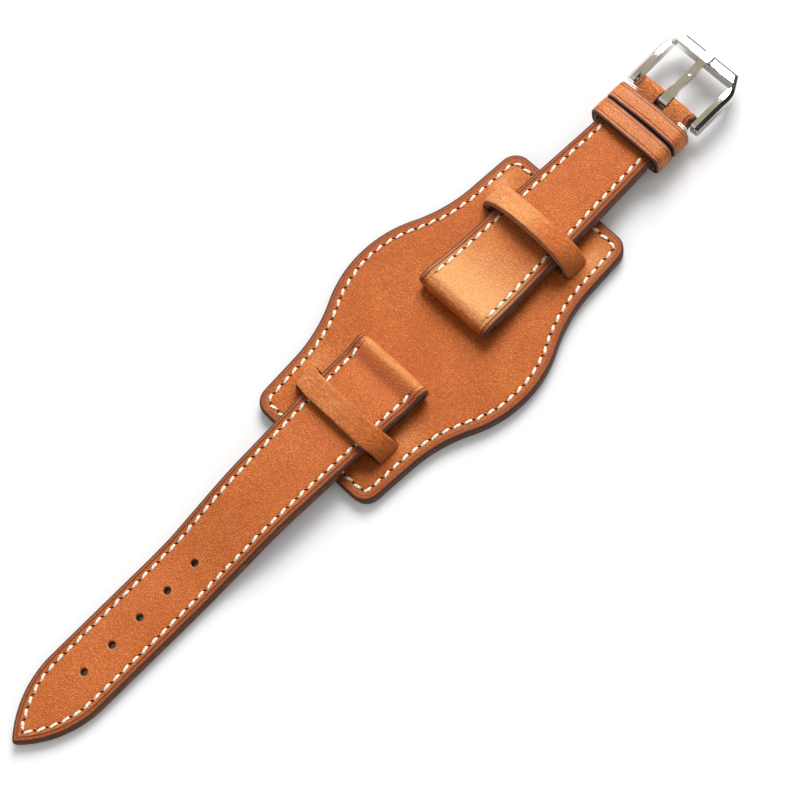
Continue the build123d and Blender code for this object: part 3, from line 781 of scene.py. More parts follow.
class Effects:
    """Shader node groups that several finishes share, each built once."""

    def __init__(self) -> None:
        """Builds the groups."""
        self.grain = self.make_grain()
        self.border = self.make_border()
        self.awl = self.make_awl()
        self.patina = self.make_patina()

    @staticmethod
    def make_grain() -> bpy.types.NodeTree:
        """Leather grain: pebbles of two sizes between creases, pits, and wrinkles where it is creased."""
        inputs = {"Vector": None, "Streaks": None, "Pebble": 0.5, "Creased": 0.0, "Streaky": 0.45}
        g, given, end = new_group("leather grain", inputs, ("Height", "Tone"))
        warp = g.node("TexNoise", noise_dimensions="3D")
        g.feed(warp.inputs["Vector"], given["Vector"])
        warp.inputs["Scale"].default_value = 1.1
        warped = g.call("VectorMath", warp.outputs["Color"], (0.4, 0.4, 0.4), given["Vector"],
                        operation="MULTIPLY_ADD").outputs[0]
        large = g.step(g.cells(warped, 1.75), 0.02, 0.22)
        small = g.step(g.cells(warped, 3.8), 0.0, 0.20)
        pores = g.noise(given["Vector"], 2.7, 3.0, 0.65, 0.5)
        streaks = g.noise(given["Streaks"], 1.3, 3.0, 0.62, 0.4)
        web = g.step(g.off(g.noise(given["Streaks"], 0.55, 2.0, 0.5, 0.7), 0.5), 0.0, 0.07)
        pebble = g.more(small, 0.35, g.times(large, 0.75))
        height = g.more(pebble, given["Pebble"], g.times(pores, 1.9))
        height = g.more(streaks, 0.65, height)
        g.feed(end["Height"], g.more(g.times(web, 2.0), given["Creased"], height))
        tone = g.more(small, 0.12, g.times(large, 0.22))
        tone = g.more(pores, 0.42, tone)
        tone = g.more(streaks, given["Streaky"], tone)
        lines = g.times(g.math("SUBTRACT", 1.0, web), given["Creased"])
        g.feed(end["Tone"], g.more(lines, -0.5, tone))
        return g.tree

    @staticmethod
    def make_border() -> bpy.types.NodeTree:
        """Edge of a leather: a creased line, a burnished band and the paint that laps over the cut."""
        g, given, end = new_group(
            "leather border", {"Edge": 9.0, "Vector": None, "Crease": 1.05, "Reach": 1.7, "Lap": 0.38},
            ("Paint", "Band", "Line"))
        wander = g.math("SUBTRACT", g.noise(given["Vector"], 0.7, 3.0, 0.6), 0.5)
        edge = g.more(wander, 0.30, given["Edge"])
        g.feed(end["Paint"], g.step(g.math("SUBTRACT", edge, given["Lap"]), -0.10, 0.14, 1.0, 0.0))
        g.feed(end["Band"], g.step(g.math("SUBTRACT", edge, given["Reach"]), -1.1, 0.35, 1.0, 0.0))
        g.feed(end["Line"], g.step(g.off(given["Edge"], given["Crease"]), 0.03, 0.26, 1.0, 0.0))
        return g.tree

    @staticmethod
    def make_awl() -> bpy.types.NodeTree:
        """Slanted awl slits at whole numbers along the seam, their raised lips and the thread's furrow.

        A slit is an ellipse of the half-length 0.35 and the half-width 0.19, turned by the slant.
        """
        g, given, end = new_group("awl slits", {"Along": 0.0, "Across": 9.0, "Pitch": 2.6, "Slant": 0.7},
                                  ("Slit", "Furrow", "Lip"))
        a = g.times(g.math("SUBTRACT", given["Along"], g.math("ROUND", given["Along"])), given["Pitch"])
        cos, sin = g.math("COSINE", given["Slant"]), g.math("SINE", given["Slant"])
        u = g.math("SUBTRACT", g.times(a, cos), g.times(given["Across"], sin))
        v = g.math("ADD", g.times(a, sin), g.times(given["Across"], cos))
        squares = (g.math("POWER", g.math("DIVIDE", place, half), 2.0)
                   for place, half in ((u, 0.35), (v, 0.19)))
        far = g.math("SQRT", g.math("ADD", *squares))
        g.feed(end["Slit"], g.step(far, 0.65, 1.15, 1.0, 0.0))
        g.feed(end["Lip"], g.step(g.off(far, 1.75), 0.0, 0.7, 1.0, 0.0))
        g.feed(end["Furrow"], g.step(g.math("ABSOLUTE", given["Across"]), 0.1, 0.75, 1.0, 0.0))
        return g.tree

    @staticmethod
    def make_patina() -> bpy.types.NodeTree:
        """Broad clouds and fine scratches for any finish."""
        g, given, end = new_group("patina", {"Vector": None, "Size": 9.0}, ("Cloud", "Scratch"))
        scaled = g.call("VectorMath", given["Vector"], given["Size"], operation="DIVIDE")
        g.feed(end["Cloud"], g.noise(scaled.outputs[0], 1.0, 3.0, 0.55))
        stretched = g.node("Mapping")
        g.feed(stretched.inputs["Vector"], given["Vector"])
        stretched.inputs["Scale"].default_value = (0.12, 2.2, 1.0)
        stretched.inputs["Rotation"].default_value = (0, 0, 0.6)
        g.feed(end["Scratch"], g.step(g.noise(stretched.outputs[0], 2.0, 4.0, 0.7, 0.3), 0.62, 0.75))
        return g.tree


@dataclass(frozen=True)
class TanLeather:
    """Vegetable tanned cognac leather, drum grained, with creased and burnished borders.

    Attributes:
        name: the material's name.
        body: main colour.
        light: paler colour of the grain's tops, its clouds and creases, and a painted highlight on the slits'
            lips.
        deep: colour in the grain's valleys and burnished places, and the painted shade where the pulled mark is
            below zero.
        pull: colour of the painted highlight where the pulled mark is above zero.
        band: colour of the burnished border.
        paint: colour of the edge paint that laps over the border.
        slit: dark colour painted inside an awl slit for its shade.
        pebble: how strongly the pebble grain stands out.
        grain_depth: depth of the grain in millimetres.
        crease: distance of the creased line from the edge.
        reach: width of the burnished border.
        rim: how strongly the border is burnished.
        line: how dark the creased line is.
        streak_turn: direction of the hide's streaks, in radians about Z.
        streaky: how strongly the streaks colour it.
        sewn: whether a row of stitches goes through it.
        roughness: mean roughness.
        shine: strength of the reflection.
    """

    name: str
    body: Colour = (0.67, 0.165, 0.020)
    light: Colour = (0.88, 0.31, 0.075)
    deep: Colour = (0.36, 0.064, 0.008)
    pull: Colour = (1.0, 0.50, 0.18)
    band: Colour = (0.25, 0.072, 0.030)
    paint: Colour = (0.10, 0.045, 0.034)
    slit: Colour = (0.030, 0.012, 0.006)
    pebble: float = 0.5
    grain_depth: float = 0.055
    crease: float = 1.05
    reach: float = 1.75
    rim: float = 0.62
    line: float = 0.75
    streak_turn: float = 0.15
    streaky: float = 0.45
    sewn: bool = True
    roughness: float = 0.33
    shine: float = 0.27

    def build(self, effects: Effects) -> bpy.types.Material:
        """Makes the material.

        Args:
            effects: the shared node groups.
        Returns:
            The new material.
        """
        material, g = new_material(self.name)
        mm, creased, pulled = g.millimetres(), g.mark("creased"), g.mark("pulled")
        stretches = ((1.3, 0.8, 1.0), (2.4, 0.55, 1.0))
        pores, streaks = (g.millimetres(stretch, self.streak_turn) for stretch in stretches)
        grain = g.group(effects.grain, Vector=pores, Streaks=streaks, Creased=creased, Pebble=self.pebble,
                        Streaky=self.streaky)
        border = g.group(effects.border, Edge=g.mark("edge"), Vector=mm, Crease=self.crease, Reach=self.reach)
        cloud = g.group(effects.patina, Vector=mm, Size=11.0)["Cloud"]
        tone = grain["Tone"]
        # The pulled mark paints light: a painted highlight where it is above zero, a painted shade where it is
        # below.
        painted_highlight_share, painted_shade_share = g.math("MAXIMUM", pulled, 0.0), g.math("MULTIPLY", pulled, -1.0, clamp=True)
        valley = g.times(g.step(tone, 0.35, 0.88, 0.82, 0.0), g.more(painted_highlight_share, -0.6, 1.0))
        clouds = g.coats(self.deep, (g.step(cloud, 0.3, 0.72), self.light))
        colour = g.coats(
            self.body, (0.22, clouds), (painted_highlight_share, self.pull), (valley, self.deep), (painted_shade_share, self.deep),
            (g.step(tone, 0.62, 0.95, 0.0, 0.32), self.light), (g.times(creased, 0.20), self.light),
            (g.times(border["Band"], self.rim), self.band),
            (g.times(border["Line"], self.line), tuple(0.55 * k for k in self.deep)))
        level_now = g.times(border["Line"], -3.0 * self.line)
        rough = g.more(cloud, 0.10, g.more(tone, -0.12, self.roughness + 0.06))
        if self.sewn:
            awl = g.group(effects.awl, Along=g.mark("seam_along"), Across=g.mark("seam_across"))
            # The slits' raised lips get a painted highlight and the slits themselves a painted shade.
            colour = g.coats(colour, (g.times(awl["Lip"], 0.22), self.light), (awl["Slit"], self.slit))
            for key, lift in (("Slit", -4.0), ("Lip", 1.6), ("Furrow", -1.4)):
                level_now = g.more(awl[key], lift, level_now)
            rough = g.more(awl["Slit"], 0.5, rough)
        colour = g.coats(colour, (border["Paint"], self.paint))
        fade = g.more(border["Paint"], -0.85, 1.0)
        height = g.math("ADD", g.times(grain["Height"], fade), level_now)
        g.surface(colour, g.more(border["Paint"], 0.22, rough), g.bump(height, self.grain_depth),
                  Specular_IOR_Level=self.shine, Sheen_Weight=0.03)
        return material


@dataclass(frozen=True)
class EdgePaint:
    """Dark painted and burnished cut edge, slightly uneven, with faint lines where layers meet."""

    name: str = "painted edge"
    body: Colour = (0.105, 0.070, 0.064)
    worn: Colour = (0.20, 0.11, 0.085)
    roughness: float = 0.55

    def build(self, effects: Effects) -> bpy.types.Material:
        """Makes the material from the shared node groups."""
        material, g = new_material(self.name)
        mm = g.millimetres()
        cloud = g.group(effects.patina, Vector=mm, Size=2.6)["Cloud"]
        lines = g.noise(g.millimetres((0.12, 0.12, 3.0)), 1.2, 3.0, 0.6)
        colour = g.coats(self.body, (g.step(cloud, 0.42, 0.75), self.worn),
                         (g.step(lines, 0.55, 0.75, 0.0, 0.5), self.worn))
        height = g.math("ADD", lines, g.times(g.noise(mm, 3.0), 0.6))
        g.surface(colour, g.math("ADD", self.roughness, g.times(cloud, 0.2)), g.bump(height, 0.03),
                  Specular_IOR_Level=0.15)
        return material


@dataclass(frozen=True)
class RawCut:
    """Knife-cut leather fibre, as on a bridge's slit sides and a punched hole."""

    name: str = "raw cut"
    body: Colour = (0.50, 0.23, 0.085)
    deep: Colour = (0.25, 0.095, 0.035)

    def build(self, effects: Effects) -> bpy.types.Material:
        """Makes the material from the shared node groups."""
        material, g = new_material(self.name)
        fibre = g.noise(g.millimetres((2.0, 0.6, 0.6)), 2.4, 4.0, 0.65, 0.6)
        cloud = g.group(effects.patina, Vector=g.millimetres(), Size=2.0)["Cloud"]
        colour = g.coats(self.deep, (g.step(fibre, 0.35, 0.68), self.body),
                         (g.step(cloud, 0.4, 0.7, 0.0, 0.4), self.deep))
        g.surface(colour, g.step(fibre, 0.0, 1.0, 0.62, 0.85), g.bump(fibre, 0.06), Sheen_Weight=0.15)
        return material


@dataclass(frozen=True)
class LiningCalf:
    """Matt lining leather on the wrist side, with a close flat grain."""

    name: str = "lining calf"
    body: Colour = (0.46, 0.20, 0.085)
    deep: Colour = (0.28, 0.105, 0.045)
    paint: Colour = (0.085, 0.035, 0.026)
    slit: Colour = (0.02, 0.01, 0.008)

    def build(self, effects: Effects) -> bpy.types.Material:
        """Makes the material from the shared node groups."""
        material, g = new_material(self.name)
        mm = g.millimetres()
        grain = g.group(effects.grain, Vector=mm, Streaks=g.millimetres((0.8, 1.6, 1.0), 0.4), Pebble=0.25)
        border = g.group(effects.border, Edge=g.mark("edge"), Vector=mm, Crease=0.5)
        cloud = g.group(effects.patina, Vector=mm, Size=8.0)["Cloud"]
        awl = g.group(effects.awl, Along=g.mark("seam_along"), Across=g.mark("seam_across"))
        # The awl slits get a painted shade.
        colour = g.coats(self.body, (g.step(cloud, 0.3, 0.7, 0.0, 0.6), self.deep),
                         (g.step(grain["Tone"], 0.4, 0.9, 0.3, 0.0), self.deep), (awl["Slit"], self.slit),
                         (border["Paint"], self.paint))
        height = g.math("ADD", grain["Height"], g.times(awl["Furrow"], -1.5))
        g.surface(colour, g.step(grain["Tone"], 0.2, 1.0, 0.78, 0.6), g.bump(height, 0.035),
                  Specular_IOR_Level=0.35)
        return material


@dataclass(frozen=True)
class WaxedThread:
    """Twisted linen thread, waxed: slanted plies on the piece's own wrap map."""

    name: str = "waxed thread"
    body: Colour = (0.97, 0.90, 0.76)
    deep: Colour = (0.66, 0.50, 0.34)

    def build(self, effects: Effects) -> bpy.types.Material:
        """Makes the material from the shared node groups."""
        material, g = new_material(self.name)
        wrap = g.call("SeparateXYZ", g.node("UVMap", uv_map="wrap").outputs[0]).outputs
        phase = g.math("ADD", g.times(wrap[0], 9.0), g.times(wrap[1], FULL_TURN))
        ply = g.more(g.math("SINE", phase), 0.5, 0.5)
        cloud = g.group(effects.patina, Vector=g.millimetres(), Size=1.2)["Cloud"]
        # The grooves between the plies are painted darker, a painted shade; the clouds are the thread's own
        # uneven tone.
        colour = g.coats(self.body, (g.step(ply, 0.0, 0.5, 0.5, 0.0), self.deep),
                         (g.step(cloud, 0.45, 0.8, 0.0, 0.35), self.deep))
        g.surface(colour, g.step(ply, 0.0, 1.0, 0.62, 0.45), g.bump(ply, 0.07), Sheen_Weight=0.2)
        return material


class MetalKind(Enum):
    """How a metal part is finished: its mean roughness, the roughness's span and the brush lines' depth."""

    POLISHED = (0.055, 0.04, 0.0004)
    BRUSHED = (0.28, 0.16, 0.012)


@dataclass(frozen=True)
class BuckleMetal:
    """Stainless steel with a polish that is softly uneven, or a brushed face.

    Attributes:
        name: the material's name.
        kind: how it is finished.
        body: main colour.
        shade: colour of the clouds in it.
        pip: place of a punched pip along the strap and across it, if there is one.
    """

    name: str
    kind: MetalKind
    body: Colour = (0.76, 0.745, 0.72)
    shade: Colour = (0.66, 0.64, 0.61)
    pip: tuple[float, float] | None = None

    def build(self, effects: Effects) -> bpy.types.Material:
        """Makes the material from the shared node groups."""
        material, g = new_material(self.name)
        mm = g.millimetres()
        patina = g.group(effects.patina, Vector=mm, Size=3.0)
        base, span, depth = self.kind.value
        rough = g.more(patina["Cloud"], span, base - span / 2)
        rough = g.math("ADD", rough, g.times(patina["Scratch"], 0.03))
        brush = g.noise(g.millimetres((0.3, 6.0, 6.0)), 2.0, 3.0, 0.6)
        normal = g.bump(g.math("ADD", brush, g.times(patina["Scratch"], 0.6)), depth)
        if self.pip is not None:
            flat = g.call("VectorMath", mm, (1, 1, 0), operation="MULTIPLY").outputs[0]
            far = g.call("VectorMath", flat, (*self.pip, 0), operation="DISTANCE").outputs["Value"]
            normal = g.bump(g.step(far, 0.05, 0.32), 0.12, normal)
        colour = g.coats(self.body, (g.step(patina["Cloud"], 0.35, 0.7), self.shade))
        g.surface(colour, rough, normal, Metallic=1.0)
        return material


@dataclass
class Finishes:
    """Every material of the strap, made once."""

    effects: Effects = field(default_factory=Effects)

    def __post_init__(self) -> None:
        """Makes the materials."""
        make = self.effects
        self.pad = TanLeather("pad leather", pebble=0.45, grain_depth=0.08, streak_turn=0.1, line=0.2,
                              reach=1.9, shine=0.18).build(make)
        self.strap = TanLeather("strap leather", body=(0.74, 0.182, 0.021), deep=(0.40, 0.071, 0.009),
                                pebble=0.75, grain_depth=0.075, streak_turn=-0.1).build(make)
        self.keeper = TanLeather("keeper leather", body=(0.66, 0.180, 0.034), light=(0.88, 0.34, 0.11),
                                 deep=(0.30, 0.062, 0.016), band=(0.48, 0.13, 0.045),
                                 paint=(0.12, 0.06, 0.045), streaky=0.85, pebble=0.35, line=0.5,
                                 crease=0.95, reach=0.95, rim=0.35, sewn=False).build(make)
        self.edge = EdgePaint().build(make)
        self.strap_edge = EdgePaint("strap edge paint", body=(0.155, 0.064, 0.040),
                                    worn=(0.30, 0.125, 0.072)).build(make)
        self.dark_edge = EdgePaint("dark painted edge", body=(0.030, 0.018, 0.016),
                                   worn=(0.075, 0.038, 0.03)).build(make)
        self.raw = RawCut().build(make)
        self.lining = LiningCalf().build(make)
        self.thread = WaxedThread().build(make)
        self.polished = BuckleMetal("polished steel", MetalKind.POLISHED).build(make)
        self.marked = BuckleMetal("polished steel with a pip", MetalKind.POLISHED,
                                  pip=(77.3, 0.0)).build(make)
        self.brushed = BuckleMetal("brushed steel", MetalKind.BRUSHED).build(make)


@dataclass
class Thread:
    """Saddle stitches: one flattened, slanted arch of thread from each awl slit to the next.

    Attributes:
        width: width of the laid thread.
        thickness: its thickness.
        rise: how high its top stands over the leather in the middle.
        slant: sideways shift of its ends, positive to the left of the row's way.
        sink: how far the ends dive into their slits.
        reach: half of its length, in pitches.
        bed: how far its middle line lies below its top.
        narrow: share of its section that it loses at both ends, and more at the far one.
        loose: how much its length, slant, side place and height differ from stitch to stitch.
    """

    width: float = 0.76
    thickness: float = 0.48
    rise: float = 0.26
    slant: float = 0.25
    sink: float = 0.42
    reach: float = 0.435
    bed: float = 0.14
    narrow: tuple[float, float] = (0.62, 0.12)
    loose: tuple[float, float, float, float] = (0.012, 0.25, 0.04, 0.012)

    def sew(self, skin: Skin, seam: Seam, place: Place, top: Lift, seed: int) -> None:
        """Adds every stitch of a row.

        The thread's middle line runs from near one hole to near the next. Over the place u from -1 to 1 its
        height is the rise, less the bed, times 1 minus u squared, less the sink times the fifth power of u,
        and its side place goes evenly from minus to plus the slant. Its section is an ellipse of eight
        points.

        Args:
            skin: where the vertices and faces go.
            seam: the row.
            place: where a flat place with a height comes to in space.
            top: height of the leather, for flat places.
            seed: seed of the small differences between stitches.
        """
        k = np.arange(seam.count)
        u = np.linspace(-1, 1, 9)
        jitter = np.random.default_rng(seed).normal(0, 1, (len(k), 4)) * self.loose
        along = (k[:, None] + 0.5 + u * (self.reach + jitter[:, :1])) * seam.pitch
        p, d = seam.at(along)
        left = np.stack([-d[..., 1], d[..., 0]], axis=-1)
        side = self.slant * (1 + jitter[:, 1:2]) * u + jitter[:, 2:3]
        p = p + side[..., None] * left
        height = (self.rise - self.bed) * (1 - u**2) - self.sink * np.abs(u) ** 5 + jitter[:, 3:4]
        taper = (1 - self.narrow[0] * np.abs(u) ** 2.2) * (1 - self.narrow[1] * u)
        angle = np.linspace(0, FULL_TURN, 8, endpoint=False)
        wide = 0.5 * self.width * taper[None, :, None] * np.cos(angle)
        tall = 0.5 * self.thickness * taper[None, :, None] * np.sin(angle)
        flat = p[:, :, None, :] + wide[..., None] * left[:, :, None, :]
        n = (top(p[..., 0], p[..., 1]) + height)[:, :, None] + tall
        wrap = np.broadcast_arrays(u[None, :, None] + 2.0 * k[:, None, None], angle / FULL_TURN, n)[:2]
        ids = skin.add(place(flat[..., 0], flat[..., 1], n), None, np.stack(wrap, axis=-1))
        ring = np.concatenate([ids, ids[:, :, :1]], axis=2)
        corners = [ring[:, :-1, :-1], ring[:, 1:, :-1], ring[:, 1:, 1:], ring[:, :-1, 1:]]
        skin.face(np.stack(corners, axis=-1))
        for end, order in ((0, 1), (-1, -1)):
            a = ids[:, end, :]
            caps = [a[:, [0, 1, 2, 3]], a[:, [0, 3, 4, 7]], a[:, [4, 5, 6, 7]]]
            skin.face(np.stack(caps, axis=1)[..., ::order])


@dataclass
class Pad:
    """The wrist pad with its two bridges, lining and stitches.

    Attributes:
        half_length: half the length.
        half_width, shoulder: half the widths in the middle and at the shoulder.
        middle_radius, shoulder_radius: radii of the outline's arcs.
        taper: angle of the sides towards the ends, in degrees.
        corner: radius of the corners.
        top, layer: height of the grain side, and thickness of one leather.
        edge_round: radius of the edge at the grain side.
        pitch: distance from hole to hole.
        border, wrist_border: how the two faces fall off at the edge and at the seam.
        bridge_middle, bridge_width, bridge_under: place, width and clear height of the bridges.
        slit: width of the slits that free them.
        foot: half the length of the slits.
        foot_lift: how far the leather is drawn up at the bridges' feet.
        roll: angle by which each bridge is turned about its edge, in degrees, on the tail's side first.
        sway: how far each one leans along the strap.
    """

    half_length: float = 40.3
    half_width: float = 25.1
    shoulder: float = 18.0
    middle_radius: float = 28.2
    shoulder_radius: float = 35.2
    taper: float = 3.3
    corner: float = 4.0
    top: float = 2.8
    layer: float = 1.4
    edge_round: float = 0.5
    pitch: float = 2.57
    border: Border = Border(2.3, 0.10, bevel=0.22)
    wrist_border: Border = Border(2.3, 0.42, 0.62)
    bridge_middle: float = 28.5
    bridge_width: float = 5.4
    bridge_under: float = 7.12
    slit: float = 0.25
    foot: float = 12.8
    foot_lift: float = 0.60
    roll: tuple[float, float] = (-0.8, 22.0)
    sway: tuple[float, float] = (-1.0, 0.1)

    def outline(self) -> Outline:
        """Upper half of the pad's edge: middle arc, hollow shoulder arc, tapering side and rounded corner.

        The middle arc turns by the angle whose cosine is 1 minus the drop to the shoulder over the sum of
        both radii, the shoulder arc turns back to the taper, and the side runs straight to the corner.

        Returns:
            The outline from the tail end of the middle line to its buckle end.
        """
        turn = np.arccos(1 - (self.half_width - self.shoulder) / (self.middle_radius + self.shoulder_radius))
        a = np.linspace(0, turn, 60)
        drop = self.middle_radius * (1 - np.cos(a))
        arc1 = np.stack([self.middle_radius * np.sin(a), self.half_width - drop], axis=1)
        b = np.linspace(turn, np.radians(self.taper), 70)
        centre = arc1[-1] + self.shoulder_radius * np.array([np.sin(turn), np.cos(turn)])
        arc2 = centre - self.shoulder_radius * np.stack([np.sin(b), np.cos(b)], 1)
        end_y = arc2[-1, 1] - (self.half_length - arc2[-1, 0]) * np.tan(np.radians(self.taper))
        tail = arc_corners([tuple(arc2[-1]), (self.half_length, end_y), (self.half_length, 0)], [self.corner])
        right = np.concatenate([arc1, arc2[1:], tail[1:]])
        return Outline(np.concatenate([right[::-1] * [-1, 1], right[1:]]))

    def seam(self) -> Seam:
        """The closed row of stitches round the pad, as a line that ends where it starts."""
        upper = self.outline().inset(self.border.inset).line
        upper = np.concatenate([[[upper[0, 0], 0]], upper, [[upper[-1, 0], 0]]])
        return Seam(even_line(np.concatenate([upper[::-1], (upper * [1, -1])[1:]]), 0.15), self.pitch)

    def columns(self, inset: Outline) -> Array:
        """Places of the grid's columns: fine beside the slits and at the rounded ends."""
        end = inset.line[-1, 0]
        corner = end - (1 - np.cos(np.linspace(0, np.pi / 2, 12))) * 1.8
        free = np.concatenate([np.linspace(-end, end, 127), corner, -corner])
        w, s = self.bridge_width / 2, self.slit
        lines = np.array([s + 0.45, s + 0.2, s + 0.07, s, 0.0, -0.07, -0.2, -0.45]) + w
        lines = np.concatenate([-lines, lines])
        fixed = np.concatenate([lines + self.bridge_middle, lines - self.bridge_middle])
        free = free[np.abs(free[:, None] - fixed[None]).min(1) > 0.18]
        places = np.unique(np.round(np.concatenate([free, fixed]), 5))
        return places[np.concatenate([[True], np.diff(places) > 0.03])]

    def rows(self, x: Array, inset: Outline) -> Array:
        """Side places of the grid: fixed lines in the middle zone, and shares of the width outside it."""
        zone = self.foot + 0.25
        half = np.maximum(inset.half_width(x), zone + 0.05)
        fixed = self.foot + np.array([-0.6, -0.3, -0.1, 0.0, 0.1])
        inner = np.linspace(-zone, zone, 47)
        inner = inner[np.abs(np.abs(inner)[:, None] - fixed).min(1) > 0.12]
        inner = np.unique(np.round(np.concatenate([inner, fixed, -fixed, [-zone, zone]]), 5))
        outer = zone + (half[:, None] - zone) * (1 - (1 - np.linspace(0, 1, 25)[1:]) ** 1.25)
        return np.concatenate([-outer[:, ::-1], np.broadcast_to(inner, (len(x), len(inner))), outer], axis=1)

    def strip(self, x: Array, y: Array, side: int, slack: float = 1e-3) -> tuple[Array, Array]:
        """Places from a bridge's middle, and which of them are on the strip between its slits."""
        off = x - side * self.bridge_middle
        return off, (np.abs(off) < self.bridge_width / 2 + 1e-3) & (np.abs(y) < self.foot + slack)

    def relief(self, outline: Outline) -> Lift:
        """Height of the pad's grain side: its border, soft waves and the lift at the bridges' feet."""
        def height(x: Array, y: Array) -> Array:
            """Sum of the reliefs at flat places."""
            e = outline.edge_distance(x, y)
            waves = 0.05 * np.sin(0.23 * x + 0.9) * np.cos(0.19 * y) * smooth(e, 2.0, 6.0)
            z = self.top - self.border.fall(e) + waves
            past = np.abs(y) - self.foot
            for side in (-1, 1):
                along = bell(x - side * self.bridge_middle, 3.3)
                z += self.foot_lift * along * bell(past, np.where(past > 0, 1.7, 2.4))
            return z
        return height

    def arch(self) -> tuple[Array, Array]:
        """Half of a bridge's end view: from the foot up a rounded leg to a gently bowed crown.

        Returns:
            Points as (y, z) from the foot to the middle, and the length run up to each.
        """
        rise = self.bridge_under + self.layer
        corners = [(self.foot + 2.5, self.top - 0.6), (self.foot + 0.15, self.top + 0.1),
                   (self.foot - 1.0, self.top + 3.9), (self.foot - 4.2, rise - 0.06), (0.0, rise + 0.3)]
        line = soften(even_line(arc_corners(corners, [1.6, 3.0, 9.0]), 0.1), 8)
        line = line[nearest(line[:, 0], self.foot):]
        line[0] = (self.foot, self.top)
        return line, run_of(line)

    def bridge_place(self, x: Array, y: Array, n: Array) -> Array:
        """Puts a flat place of the pad in space, with the two strips between the slits lifted into arches.

        A strip's side place y goes to the point that lies as far along the arch line. Towards the middle the
        strip also turns by an angle that grows smoothly from the feet, about its edge on the buckle's side where
        the angle is positive and on the tail's side where it is negative, and it sways along the strap.

        Args:
            x: places along.
            y: places across.
            n: heights over the table.
        Returns:
            Points in space.
        """
        x, y, n = (np.asarray(a, float) for a in np.broadcast_arrays(x, y, n))
        pts = face_up(x, y, n)
        line, run = self.arch()
        way = ways(line)
        share = np.clip((self.foot - np.abs(y)) / self.foot, 0, 1)
        leg_share, leg_length = 0.2, 7.4
        leg = leg_length / run[-1]
        crown = leg + (share - leg_share) / (1 - leg_share) * (1 - leg)
        at = np.where(share < leg_share, share / leg_share * leg, crown) * run[-1]
        py, pz, ny, nz = (np.interp(at, run, values) for values in (*line.T, way[:, 1], -way[:, 0]))
        held, bow = smooth(at, 0.0, 2.5), smooth(at, 0.5, 13.5)
        depth = (n - self.top) * (1 - 0.04 * held)
        for side, angle, sway in zip((-1, 1), self.roll, self.sway):
            off, strip = self.strip(x, y, side, -1e-3)
            roll = np.radians(angle) * bow
            arm = np.sign(angle) * self.bridge_width / 2 - off
            xx = x + depth * np.sin(roll) + arm * (1 - np.cos(roll)) + sway * smooth(at, 0.5, 9.0)
            yy = (py + depth * ny) * np.where(y < 0, -1, 1)
            zz = pz + depth * (nz * held + (1 - held)) + arm * np.sin(roll)
            pts = np.where(strip[..., None], face_up(xx, yy, zz), pts)
        return pts

    def softened(self, relief: Lift) -> Lift:
        """The grain side's height with the slits' edges rounded off and the strips crowned."""
        def height(x: Array, y: Array) -> Array:
            """Relief less a bevel within 0.28 of a slit, plus a crown of 0.06 on the strips."""
            z = relief(x, y)
            for side in (-1, 1):
                off = np.abs(x - side * self.bridge_middle)
                gap = np.maximum(np.abs(off - self.bridge_width / 2 - self.slit / 2) - self.slit / 2, 0)
                near = np.hypot(gap, np.maximum(np.abs(y) - self.foot, 0))
                z = z - 0.14 * np.clip(1 - near / 0.28, 0, 1) ** 2
                inside = off < self.bridge_width / 2 + 1e-3
                crown = np.where(inside, 0.06 * (1 - (off / (self.bridge_width / 2)) ** 2), 0)
                z = z + crown * smooth(self.foot - np.abs(y), 0.0, 3.0)
            return z
        return height

    def creased(self, x: Array, y: Array) -> Array:
        """Wrinkles on the bridges' legs and on the leather that they draw up."""
        out = np.zeros(np.shape(x))
        for side in (-1, 1):
            off, strip = self.strip(x, y, side, 0.0)
            out += 0.6 * bell(off, 3.4) * bell(np.abs(y) - self.foot + 0.6, 2.3)
            out += 0.35 * strip * smooth(self.foot - np.abs(y), 0.5, 3.0)
        return np.clip(out, 0, 1)

    def pulled(self, x: Array, y: Array) -> Array:
        """Painted highlights: on the bridges, brighter towards +Y, and beside their feet on the buckle's side.
        """
        out = np.zeros(np.shape(x))
        # Painted highlight on each strip and beside each foot; the buckle's bridge gets the brighter one.
        for side, strip_painted_highlight, foot_painted_highlight in ((-1, 0.22, 0.32), (1, 0.60, 0.55)):
            off, strip = self.strip(x, y, side)
            out += strip_painted_highlight * strip * smooth(y, -8.0, 3.0)
            out += foot_painted_highlight * ~strip * bell(off - 4.0, 4.2) * bell(np.abs(y) - self.foot - 1.0, 3.0)
        return np.clip(out, 0, 1)

    def build(self, finishes: Finishes) -> None:
        """Builds the top leather with its bridges, the lining and the stitches."""
        outline, seam = self.outline(), self.seam()
        inset = outline.inset(self.edge_round)
        x = self.columns(inset)
        y = self.rows(x, inset)
        relief = self.relief(outline)
        feet = [nearest(y[len(y) // 2], end * self.foot) for end in (-1, 1)]
        cuts = []
        for side in (-1, 1):
            for edge in (-1, 1):
                near = side * self.bridge_middle + edge * self.bridge_width / 2
                cuts.append((*sorted(nearest(x, at) for at in (near, near + edge * self.slit)), *feet))
        skin = Skin()
        Sheet(x, y, self.softened(relief), level(self.layer + 0.01), self.bridge_place, outline,
              (self.edge_round, 0.04), (seam,), self.creased, self.pulled, tuple(cuts)).build(skin)
        skin.make("pad_grain", [finishes.pad, finishes.edge, finishes.raw], "pad", "pad_top_leather",
                  "pad_top_leather")
        threads = Skin()
        under = Seam(seam.line * [1, -1])
        Thread().sew(threads, seam, face_up, relief, 11)
        Thread(rise=0.16, slant=0.2, width=0.6).sew(threads, under, face_down, level(-0.46), 12)
        threads.make("pad_thread", [finishes.thread], "pad", "pad_stitching", "thread")
        self.line(finishes, outline, under)

